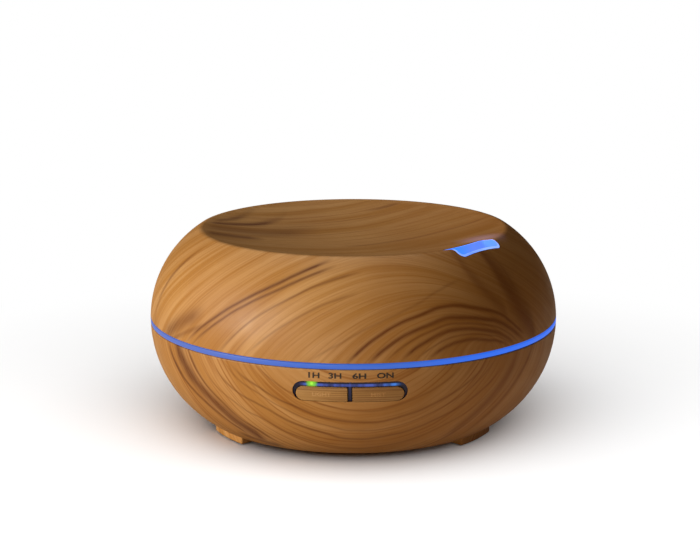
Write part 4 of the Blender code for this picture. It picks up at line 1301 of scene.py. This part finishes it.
@dataclass(frozen=True)
class Lamp(Finish):
    """Clear lens of a small light, cloudy inside, lit or unlit."""

    colour: Colour
    glow: float = 0.0

    def paint(self, g: Graph, shader: bpy.types.Node, place_: Any, effects: Effects) -> None:
        """Fills the material."""
        detail = g.group(effects.moulded(), Position=place_)
        cloud = tuple(min(1.0, c * 0.75 + 0.1) for c in self.colour)
        colour = g.mix(detail.outputs["Mottle"], self.colour, cloud)
        g.feed(shader.inputs["Base Color"], colour)
        set_glow(g, shader, colour, self.glow)
        set_roughness(g, shader, detail, 0.1, 0.12)


@dataclass(frozen=True)
class Ink(Finish):
    """Dark printing ink, slightly worn."""

    colour: Colour = (0.030, 0.016, 0.006)

    def paint(self, g: Graph, shader: bpy.types.Node, place_: Any, effects: Effects) -> None:
        """Fills the material."""
        detail = g.group(effects.moulded(), Position=place_)
        worn = tuple(c * 2.2 + 0.02 for c in self.colour)
        g.feed(shader.inputs["Base Color"], g.mix(detail.outputs["Dust"], self.colour, worn))
        set_roughness(g, shader, detail, 0.1, 0.45)


# ---- Sub-assemblies ------------------------------------------------------------------------------
@dataclass
class MistOutlet:
    """Tube of the mist outlet in the lip, and the hole that it stands in."""

    skin: Skin
    azimuth: float = math.radians(50.5)
    width: float = 0.0268
    inner_r: float = 0.0549
    outer_r: float = 0.0661
    corner: float = 0.003
    gap: float = 0.0003
    wall: float = 0.0009
    low: float = 0.0698
    high: float = 0.092

    def outline(self, shrink: float) -> list[Point2]:
        """Outline at azimuth 0, made smaller all round.

        Args:
            shrink: How much smaller.

        Returns:
            The outline.
        """
        half, corner = self.width / 2 - shrink, self.corner - shrink
        low, high = (-half, -self.outer_r + shrink), (half, -self.inner_r - shrink)
        return rounded_box(low, high, [corner] * 4)

    def cutter(self) -> bpy.types.Object:
        """Helper that cuts the hole in the cover."""
        return place(prism("outlet_cutter", self.outline(0.0), 0.072, self.high), azimuth=self.azimuth)

    def build(self) -> bpy.types.Object:
        """Builds the tube.

        Returns:
            The tube, with its upper edge a little below the skin.
        """
        tube = place(prism("outlet_tube", self.outline(self.gap), self.low, self.high), azimuth=self.azimuth)
        solid = self.skin.cover(0.0456, 0.00012, (40, 12, 40))
        envelope = turned("outlet_envelope", [(0.0, solid[0][1]), *solid])
        bore = prism("outlet_bore", self.outline(self.gap + self.wall), 0.066, self.high)
        shape(tube, [(Join.KEEP, envelope), (Join.CUT, place(bore, azimuth=self.azimuth))])
        tube.data.transform(tube.matrix_world)
        tube.matrix_world.identity()
        tube.rotation_euler = (0, 0, 0)
        return smooth(tube, 30.0)

    def dress(self, tube: bpy.types.Object, effects: Effects) -> bpy.types.Object:
        """Gives the tube its glow, and painted shade on its outer walls.

        Args:
            tube: The tube.
            effects: Shared groups.

        Returns:
            The same piece.
        """
        # The tube's outer walls are near-black navy: painted shade of the narrow gap between tube and cover.
        kinds = (OutletGlow("mist_outlet_glow", self.azimuth), RimGlow("mist_outlet_rim"),
                 Moulded("mist_outlet_outside_painted_shade", (0.006, 0.010, 0.060), 0.35))
        surfaces = [kind.make(effects) for kind in kinds]
        finish_piece(tube, "cover", ["mist_outlet"], surfaces)
        mesh = tube.data
        _, near = self.skin.normals(np.array([v.co for v in mesh.vertices], float), 2.5e-4)
        x, y = polar((self.inner_r + self.outer_r) / 2, self.azimuth)
        for face in mesh.polygons:
            outward = (face.center.x - x) * face.normal.x + (face.center.y - y) * face.normal.y
            if near[list(face.vertices)].all():
                face.material_index = 1
            # Outer walls, inside the gap round the tube, take the painted shade.
            elif outward > 0 and abs(face.normal.z) < 0.5:
                face.material_index = 2
        return tube


@dataclass
class Cover:
    """Wood-grain outer shell of the cover."""

    skin: Skin
    outlet: MistOutlet
    rim: float
    top: float
    wall: float = 0.0022
    edge: float = 0.00035
    boss_r: float = 0.0032
    boss_low: float = 0.0698
    boss_high: float = 0.077
    hole_r: float = 0.0016
    hole_high: float = 0.0756
    screw_r: float = 0.045
    screw_azimuths: tuple[float, ...] = (-10.0, 110.0, 230.0)

    def build(self) -> bpy.types.Object:
        """Builds the shell.

        Returns:
            The shell, with a rounded rim, the outlet's hole and three screw bosses.
        """
        outer = [(r, min(z, self.top)) for r, z in self.skin.cover(self.rim, 0.0, (44, 14, 44))]
        inner = self.skin.cover(self.rim, self.wall, (20, 5, 16))[::-1]
        start, end = Vector(outer[0]), Vector(inner[-1])
        inward = (end - start).normalized() * self.edge
        up = Vector((0, self.edge))
        rim = [tuple(start + inward), tuple(start + 0.3 * inward + 0.3 * up), tuple(start + up)]
        shell = turned("wood_cover", inner + rim + outer[1:])
        steps = [(Join.CUT, self.outlet.cutter())]
        for i, azimuth in enumerate(self.screw_azimuths):
            x, y = polar(self.screw_r, math.radians(azimuth))
            boss = place(prism(f"boss_{i}", circle(self.boss_r, 32), self.boss_low, self.boss_high), x, y)
            hole = prism(f"boss_hole_{i}", circle(self.hole_r, 24), self.boss_low - 0.001, self.hole_high)
            steps += [(Join.ADD, boss), (Join.CUT, place(hole, x, y))]
        shape(shell, steps)
        return self.skin.shade(shell)

    def dress(self, shell: bpy.types.Object, effects: Effects) -> bpy.types.Object:
        """Covers the shell in wood film.

        Args:
            shell: The shell.
            effects: Shared groups.

        Returns:
            The same piece.
        """
        film = WoodFilm("wood_film_cover", Field.COVER).make(effects)
        return finish_piece(shell, "cover", ["upper_cover"], [film])


@dataclass
class LightRing:
    """Glowing ring in the seam between cover and bowl."""

    skin: Skin
    low: float
    high: float
    inner_r: float = 0.077
    edge: float = 0.0002

    def build(self) -> bpy.types.Object:
        """Builds the ring.

        Returns:
            The ring, with slightly rounded edges.
        """
        outline = [(self.skin.body_r, self.low), (self.skin.body_r, self.high), (self.inner_r, self.high),
                   (self.inner_r, self.low)]
        return smooth(turned("glow_ring", softened(outline, self.edge)), 60.0)

    def dress(self, ring: bpy.types.Object, effects: Effects) -> bpy.types.Object:
        """Gives the ring its glow.

        Args:
            ring: The ring.
            effects: Shared groups.

        Returns:
            The same piece.
        """
        glow = RingGlow("ring_glow").make(effects)
        return finish_piece(ring, "base", ["light_ring"], [glow])


@dataclass
class Panel:
    """Button slot in the bowl, its smoky frame, the two buttons and the printed timer marks."""

    skin: Skin
    half_width: float = 0.02145
    low: float = 0.0304
    high: float = 0.0385
    gap: float = 0.0003
    near: float = 0.00095
    far: float = 0.02015
    button_low: float = 0.0306
    button_high: float = 0.0362
    recess: float = 0.0006
    front_y: float = -0.095
    mark_height: float = 0.0022
    mark_z: float = 0.0410
    marks: tuple[tuple[str, float, float], ...] = (
        ("1H", -0.0133, 0.0042), ("3H", -0.0055, 0.0048), ("6H", 0.0035, 0.0051), ("ON", 0.0131, 0.0062),
    )

    def plate(self, name: str, near: float, far: float) -> bpy.types.Object:
        """Curved plate behind the skin.

        Args:
            name: Name of the object.
            near: Depth of its front below the skin.
            far: Depth of its back.

        Returns:
            The plate.
        """
        low, high = 0.0275, 0.0390
        outline = self.skin.side(low, high, 24, near) + self.skin.side(low, high, 6, far)[::-1]
        half = math.radians(20)
        return turned(name, outline, 96, -math.pi / 2 - half, 2 * half)

    def button_outline(self, side: int, grow: float) -> list[Point2]:
        """D-shaped outline of a button in XZ.

        Args:
            side: -1 for the left one and 1 for the right one.
            grow: How much larger.

        Returns:
            The outline.
        """
        near, far = self.near - grow, self.far + grow
        low, high = self.button_low - grow, self.button_high + grow
        tight, full = 0.0004, (high - low) / 2 - 1e-5
        if side > 0:
            return rounded_box((near, low), (far, high), (tight, full, full, tight), 12)
        return rounded_box((-far, low), (-near, high), (full, tight, tight, full), 12)

    def slot_outline(self, shrink: float) -> list[Point2]:
        """Outline of the slot in XZ, made smaller all round.

        Args:
            shrink: How much smaller.

        Returns:
            The outline.
        """
        half, corner = self.half_width - shrink, (self.high - self.low) / 2 - shrink - 1e-5
        return rounded_box((-half, self.low + shrink), (half, self.high - shrink), [corner] * 4, 16)

    def through(self, name: str, outline: Sequence[Point2], back: float = -0.060) -> bpy.types.Object:
        """Helper that reaches through the front wall.

        Args:
            name: Name of the helper.
            outline: Its outline in XZ.
            back: How far back it reaches.

        Returns:
            The helper.
        """
        return prism(name, outline, self.front_y, back, upright=True)

    def cutter(self) -> bpy.types.Object:
        """Helper that cuts the slot in the bowl."""
        return self.through("slot_cutter", self.slot_outline(0.0), -0.070)

    def build_frame(self) -> bpy.types.Object:
        """Builds the smoky frame.

        Returns:
            The frame, with the buttons' openings.
        """
        frame = self.plate("smoky_frame", self.recess, 0.0039)
        steps = [(Join.KEEP, self.through("frame_face", self.slot_outline(self.gap / 3)))]
        for side in (-1, 1):
            hole = self.through(f"frame_opening_{side}", self.button_outline(side, self.gap))
            steps.append((Join.CUT, hole))
        return smooth(shape(frame, steps))

    def build_button(self, name: str, side: int) -> bpy.types.Object:
        """Builds a button cap.

        Args:
            name: Name of the piece.
            side: -1 for the left one and 1 for the right one.

        Returns:
            The cap, with rounded edges.
        """
        cap = self.plate(name, 0.00002, 0.0046)
        shape(cap, [(Join.KEEP, self.through(f"{name}_face", self.button_outline(side, 0.0)))])
        rounded(cap, 0.00035, 3, 50.0)
        return smooth(cap, 50.0)

    def wrapped_text(self, name: str, words: str, x: float, z: float, size: Point2, lift: float,
                     depth: float) -> bpy.types.Object:
        """Lettering that follows the skin.

        Args:
            name: Name of the piece.
            words: What it says.
            x: Middle of the lettering along X.
            z: Middle of the lettering above ground.
            size: Width and height.
            lift: Height of its face above the skin.
            depth: Thickness.

        Returns:
            The lettering as a mesh.
        """
        curve = bpy.data.curves.new(name, "FONT")
        curve.body = words
        curve.extrude = 0.5
        curve.offset = 0.03
        holder = bpy.data.objects.new(name, curve)
        bpy.context.scene.collection.objects.link(holder)
        bpy.context.view_layer.update()
        graph = bpy.context.evaluated_depsgraph_get()
        mesh = bpy.data.meshes.new_from_object(holder.evaluated_get(graph), depsgraph=graph)
        bpy.data.objects.remove(holder)
        places = np.array([v.co for v in mesh.vertices], float)
        low, high = places.min(0), places.max(0)
        flat = (places - (low + high) / 2) / (high - low)
        bend, middle = self.skin.lower_arc, self.skin.body_r - self.skin.lower_arc
        for vert, (a, b, c) in zip(mesh.vertices, flat):
            px, pz = x + a * size[0], z + b * size[1]
            out = lift - depth * (0.5 - c)
            tilt = math.asin((pz - self.skin.body_z) / bend)
            radius = middle + (bend + out) * math.cos(tilt)
            height = self.skin.body_z + (bend + out) * math.sin(tilt)
            vert.co = (px, -math.sqrt(radius**2 - px**2), height)
        made = bpy.data.objects.new(name, mesh)
        bpy.context.scene.collection.objects.link(made)
        bm = bmesh.new()
        bm.from_mesh(mesh)
        bmesh.ops.recalc_face_normals(bm, faces=bm.faces)
        bm.to_mesh(mesh)
        bm.free()
        return smooth(made)

    def build(self) -> dict[str, bpy.types.Object]:
        """Builds every piece of the panel.

        Returns:
            The pieces by name.
        """
        made = {"frame": self.build_frame()}
        for body, side in (("light_button", -1), ("mist_button", 1)):
            middle = side * (self.near + self.far) / 2
            z = (self.button_low + self.button_high) / 2
            made[body] = self.build_button(f"{body}_cap", side)
            words = body.split("_")[0].upper()
            width = 0.0014 * len(words)
            mark = f"{body}_mark"
            made[mark] = self.wrapped_text(mark, words, middle, z, (width, 0.0016), -0.00001, 0.00012)
        for words, x, width in self.marks:
            name = f"timer_mark_{words.lower()}"
            size = (width, self.mark_height)
            made[name] = self.wrapped_text(name, words, x, self.mark_z, size, 0.00002, 0.00006)
        return made

    def dress(self, made: dict[str, bpy.types.Object], effects: Effects) -> None:
        """Gives every piece of the panel its finish.

        Args:
            made: The pieces by name.
            effects: Shared groups.
        """
        smoky = SmokyWindow("smoky_window").make(effects)
        finish_piece(made.pop("frame"), "base", ["panel_bezel"], [smoky])
        film = WoodFilm("wood_film_button", Field.BUTTON, (0.60, 0.34, 0.125), (0.47, 0.24, 0.070),
                        (0.20, 0.072, 0.014)).make(effects)
        relief = WoodFilm("wood_film_relief", Field.BUTTON, (0.70, 0.42, 0.18),
                          (0.60, 0.33, 0.12)).make(effects)
        ink = Ink("timer_ink").make(effects)
        for name, piece in made.items():
            if name in ("light_button", "mist_button"):
                finish_piece(piece, name, [name], [film])
            elif name.endswith("_mark"):
                finish_piece(piece, name.removesuffix("_mark"), [], [relief])
            else:
                finish_piece(piece, "base", [], [ink])


@dataclass
class Bowl:
    """Wood-grain bowl with four moulded feet."""

    skin: Skin
    panel: Panel
    rim: float
    low: float = 0.0036
    wall: float = 0.0022
    edge: float = 0.00035
    floor_low: float = 0.0062
    floor_high: float = 0.0082
    floor_r: float = 0.043
    base_r: float = 0.0493
    ledge_r: float = 0.0765
    ledge: Point2 = (0.0392, 0.0406)
    foot_inner_r: float = 0.0505
    foot_outer_r: float = 0.0610
    foot_low: float = 0.0005
    foot_high: float = 0.006
    foot_half_angle: float = math.radians(10.4)
    foot_azimuths: tuple[float, ...] = (-56.25, 56.25, 123.75, -123.75)
    pad_r: float = 0.056
    recess_r: float = 0.0039
    recess_high: float = 0.0014
    screw_r: float = 0.0455
    hole_r: float = 0.0016
    hole_high: float = 0.010
    inlet_radii: tuple[float, float, float] = (0.0043, 0.0063, 0.0080)
    inlet_z: float = 0.024
    inlet_wall_y: float = 0.0765
    back_y: float = 0.095

    def foot(self, azimuth: float) -> bpy.types.Object:
        """Builds one foot.

        Args:
            azimuth: Its place in degrees.

        Returns:
            The foot, with rounded edges.
        """
        inner, outer, low, high = self.foot_inner_r, self.foot_outer_r, self.foot_low, self.foot_high
        section = [(inner, low), (outer, low), (outer, high), (inner, high)]
        start = -math.pi / 2 + math.radians(azimuth) - self.foot_half_angle
        made = turned(f"foot_{azimuth:.0f}", section, 20, start, 2 * self.foot_half_angle)
        return rounded(made, 0.0007, 3, 50.0)

    def build(self) -> bpy.types.Object:
        """Builds the bowl.

        Returns:
            The bowl with its feet, the button slot and the inlet's recess.
        """
        outer = self.skin.side(self.rim, self.low, 60)
        inner_low = self.skin.side(self.floor_high, self.ledge[0], 24, self.wall)
        inner_high = self.skin.side(self.ledge[1], self.rim, 4, self.wall)
        top = outer[0]
        lip = [(top[0] - self.edge, top[1]), (top[0] - self.edge * 0.3, top[1] - self.edge * 0.3),
               (top[0] - 0.00001, top[1] - self.edge)]
        outline = [
            *lip, *outer[1:], (self.base_r, self.low), (self.base_r, self.floor_low),
            (self.floor_r, self.floor_low), (self.floor_r, self.floor_high), *inner_low,
            *((self.ledge_r, z) for z in self.ledge), *inner_high,
        ]
        bowl = turned("wood_bowl", outline)
        steps = []
        for azimuth in self.foot_azimuths:
            steps.append((Join.ADD, self.foot(azimuth)))
            recess = prism(f"pad_recess_{azimuth:.0f}", circle(self.recess_r, 32), -0.001, self.recess_high)
            steps.append((Join.CUT, place(recess, *polar(self.pad_r, math.radians(azimuth)))))
        for i in range(4):
            x, y = polar(self.screw_r, math.pi / 4 + i * math.pi / 2)
            hole = prism(f"screw_hole_{i}", circle(self.hole_r, 24), 0.0, self.hole_high)
            steps.append((Join.CUT, place(hole, x, y)))
        steps += [(Join.CUT, self.panel.cutter()), *self.inlet_steps()]
        shape(bowl, steps)
        return self.skin.shade(bowl)

    def inlet_steps(self) -> list[tuple[Join, bpy.types.Object]]:
        """Helpers for the inlet's round recess in the back wall.

        Returns:
            What each helper does.
        """
        middle = (0.0, self.inlet_z)
        hole_r, pocket_r, boss_r = self.inlet_radii
        front, back = self.inlet_wall_y, self.back_y
        boss = prism("inlet_boss", circle(boss_r, 48, middle), front - 0.002, back, upright=True)
        inside = [(0.0, self.floor_high), *self.skin.side(self.floor_high, self.ledge[0], 12, self.wall / 2),
                  (0.0, self.ledge[0])]
        shape(boss, [(Join.KEEP, turned("inlet_envelope", inside))])
        pocket = prism("inlet_pocket", circle(pocket_r, 48, middle), front, back, upright=True)
        hole = prism("inlet_hole", circle(hole_r, 48, middle), 0.070, 0.080, upright=True)
        return [(Join.ADD, boss), (Join.CUT, pocket), (Join.CUT, hole)]

    def dress(self, bowl: bpy.types.Object, effects: Effects) -> bpy.types.Object:
        """Covers the bowl in wood film.

        Args:
            bowl: The bowl.
            effects: Shared groups.

        Returns:
            The same piece.
        """
        film = WoodFilm("wood_film_bowl", Field.BOWL).make(effects)
        return finish_piece(bowl, "base", ["lower_bowl"], [film])


@dataclass
class Innards:
    """Pieces that keep their frame shape: lid, tank, disc, boards, fan, wiring, screws and pads."""

    nodes: dict[str, bpy.types.Object]

    def finishes(self, effects: Effects) -> dict[str, bpy.types.Material]:
        """Makes a material for each slot of the record.

        Args:
            effects: Shared groups.

        Returns:
            The materials by slot.
        """
        kinds = {
            "white_plastic": Moulded("white_moulding", (0.78, 0.78, 0.75), 0.36),
            "frosted_plastic": Moulded("frosted_tank_moulding", (0.70, 0.76, 0.80), 0.42, 0.92),
            "black_plastic": Moulded("black_moulding", (0.022, 0.022, 0.024), 0.42, 0.7),
            "led_lens": Lamp("clear_lens", (0.75, 0.85, 0.78)),
            "silicone": Moulded("silicone_moulding", (0.62, 0.62, 0.60), 0.60, 0.9),
            "black_rubber": Moulded("rubber_moulding", (0.018, 0.018, 0.019), 0.75, 0.8, 0.00008),
            "circuit_board": CircuitBoard("green_board"),
            "screw_steel": Metal("screw_plating", (0.62, 0.61, 0.59), 0.32),
            "disc_metal": Metal("disc_plating", (0.78, 0.62, 0.34), 0.25, 1.0),
            "coil_copper": Winding("copper_winding"),
            "sink_aluminium": Metal("sink_metal", (0.74, 0.75, 0.77), 0.38),
            "wire_insulation": Moulded("wire_jacket", (0.72, 0.71, 0.69), 0.5, 0.85),
        }
        return {slot: kind.make(effects) for slot, kind in kinds.items()}

    def dress(self, effects: Effects, record: dict[str, Any]) -> int:
        """Gives every kept node the finish of its slot.

        Args:
            effects: Shared groups.
            record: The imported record.

        Returns:
            Number of nodes dressed.
        """
        made = self.finishes(effects)
        lit = Lamp("green_lens", (0.35, 0.95, 0.10), 1.5).make(effects)
        count = 0
        for entry in record["subparts"]:
            name, slot = entry["node"], entry["material_slot"]
            if name not in self.nodes or slot not in made:
                continue
            piece = self.nodes[name]
            piece.data.materials.clear()
            piece.data.materials.append(lit if name == "timer_led_1h" else made[slot])
            count += 1
        return count


@dataclass
class Studio:
    """White table, soft light from the left and the camera."""

    distance: float = 0.6703
    height: float = 0.2097
    pitch: float = math.radians(12.55)
    azimuth: float = math.radians(0.9)
    lens: float = 85.04
    shift: float = -0.00486

    def build_floor(self) -> bpy.types.Object:
        """Builds the table.

        Returns:
            The floor.
        """
        bm = bmesh.new()
        bmesh.ops.create_grid(bm, x_segments=8, y_segments=8, size=6.0)
        floor = new_object("table_top", bm)
        made, g, shader, place_ = start_material("white_table")
        tree = made.node_tree
        tree.nodes.remove(shader)
        path = g.node("LightPath")
        grain = g.remap(g.noise(place_, 90.0, 2.0), 0.3, 0.7, 0.97, 1.0)
        seen = g.node("BsdfDiffuse")
        g.feed(seen.inputs["Color"], g.mix(grain, (0.86, 0.86, 0.87), (0.90, 0.90, 0.90)))
        bounced = g.node("BsdfDiffuse")
        bounced.inputs["Color"].default_value = (0.38, 0.32, 0.25, 1.0)
        both = g.node("MixShader")
        g.feed(both.inputs[0], path.outputs["Is Camera Ray"])
        g.feed(both.inputs[1], bounced.outputs[0])
        g.feed(both.inputs[2], seen.outputs[0])
        bright = g.node("Emission")
        bright.inputs["Color"].default_value = (1.0, 1.0, 1.0, 1.0)
        length = g.node("VectorMath", operation="LENGTH")
        g.feed(length.inputs[0], place_)
        far = g.math("MULTIPLY", g.remap(length.outputs["Value"], 0.13, 0.27), path.outputs["Is Camera Ray"])
        fade = g.node("MixShader")
        for socket, value in zip(fade.inputs, (far, both.outputs[0], bright.outputs[0])):
            g.feed(socket, value)
        g.feed(tree.nodes["Material Output"].inputs["Surface"], fade.outputs[0])
        floor.data.materials.append(made)
        return floor

    def area(self, name: str, place_: tuple[float, float, float], size: Point2, power: float,
             aim: tuple[float, float, float] = (0.0, 0.0, 0.04),
             tint: Colour = (1.0, 1.0, 1.0)) -> bpy.types.Object:
        """Adds a soft box.

        Args:
            name: Name of the light.
            place_: Where it stands.
            size: Width and height.
            power: Power in watts.
            aim: What it looks at.
            tint: Colour of its light.

        Returns:
            The light.
        """
        data = bpy.data.lights.new(name, "AREA")
        data.shape = "RECTANGLE"
        data.size, data.size_y = size
        data.energy = power
        data.color = tint
        lamp = bpy.data.objects.new(name, data)
        lamp.location = place_
        lamp.rotation_mode = "QUATERNION"
        lamp.rotation_quaternion = (Vector(aim) - Vector(place_)).to_track_quat("-Z", "Y")
        bpy.context.scene.collection.objects.link(lamp)
        return lamp

    def build_lights(self, floor: bpy.types.Object) -> None:
        """Adds the soft boxes and the surroundings.

        Args:
            floor: The table, which has a light of its own from above.
        """
        key = self.area("key_light", (-1.02, -0.58, 0.46), (0.55, 0.55), 14.5, tint=(1.0, 0.99, 0.98))
        front = self.area("front_light", (-0.45, -1.3, 0.08), (0.7, 0.3), 3.2)
        top = self.area("top_light", (-0.1, 0.35, 1.1), (0.8, 0.6), 2.7)
        table = self.area("table_light", (-0.05, -0.8, 1.3), (3.2, 2.4), 62.0, aim=(0.0, -0.1, 0.0))
        linked = (("only_table", (table,), "INCLUDE"), ("not_table", (key, front, top), "EXCLUDE"))
        for name, lamps, state in linked:
            group = bpy.data.collections.new(name)
            group.objects.link(floor)
            group.collection_objects[0].light_linking.link_state = state
            for lamp in lamps:
                lamp.light_linking.receiver_collection = group
        world = bpy.data.worlds.new("surroundings")
        bpy.context.scene.world = world
        world.use_nodes = True
        g = Graph(world.node_tree)
        back = world.node_tree.nodes["Background"]
        path = g.node("LightPath")
        seen = path.outputs["Is Camera Ray"]
        g.feed(back.inputs["Color"], g.mix(seen, (0.022, 0.019, 0.016), (1.0, 1.0, 1.0)))

    def build_camera(self) -> bpy.types.Object:
        """Adds the camera.

        Returns:
            The camera.
        """
        data = bpy.data.cameras.new("camera")
        data.lens = self.lens
        data.sensor_width = 36.0
        data.shift_x = self.shift
        data.clip_start, data.clip_end = 0.01, 50.0
        camera = bpy.data.objects.new("camera", data)
        x, y = polar(self.distance, self.azimuth)
        camera.location = (x, y, self.height)
        camera.rotation_euler = (math.pi / 2 - self.pitch, 0.0, self.azimuth)
        bpy.context.scene.collection.objects.link(camera)
        bpy.context.scene.camera = camera
        return camera


def level(node: str) -> Point2:
    """Lowest and highest level of a node.

    Args:
        node: Name of the node.

    Returns:
        The two heights.
    """
    low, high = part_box(node)
    return low.z, high.z


def main() -> None:
    """Builds every sub-assembly round the frame, then the studio."""
    logging.basicConfig(level=logging.INFO, format="%(name)s: %(message)s")
    for thing in list(bpy.data.objects):
        bpy.data.objects.remove(thing)
    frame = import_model()
    effects = Effects()
    skin = Skin(body_r=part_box("light_ring")[1].x)
    outlet = MistOutlet(skin)
    cover = Cover(skin, outlet, *level("upper_cover"))
    ring = LightRing(skin, *level("light_ring"))
    panel = Panel(skin)
    bowl = Bowl(skin, panel, rim=level("lower_bowl")[1])
    for label, part in (("cover", cover), ("mist outlet", outlet), ("light ring", ring), ("bowl", bowl),
                        ("button panel", panel)):
        part.dress(part.build(), effects)
        LOG.info("built %s", label)
    LOG.info("dressed %d inner pieces", Innards(frame["nodes"]).dress(effects, frame["record"]))
    studio = Studio()
    studio.build_lights(studio.build_floor())
    studio.build_camera()
    bpy.context.scene.view_settings.view_transform = "Standard"


if __name__ == "__main__":
    main()
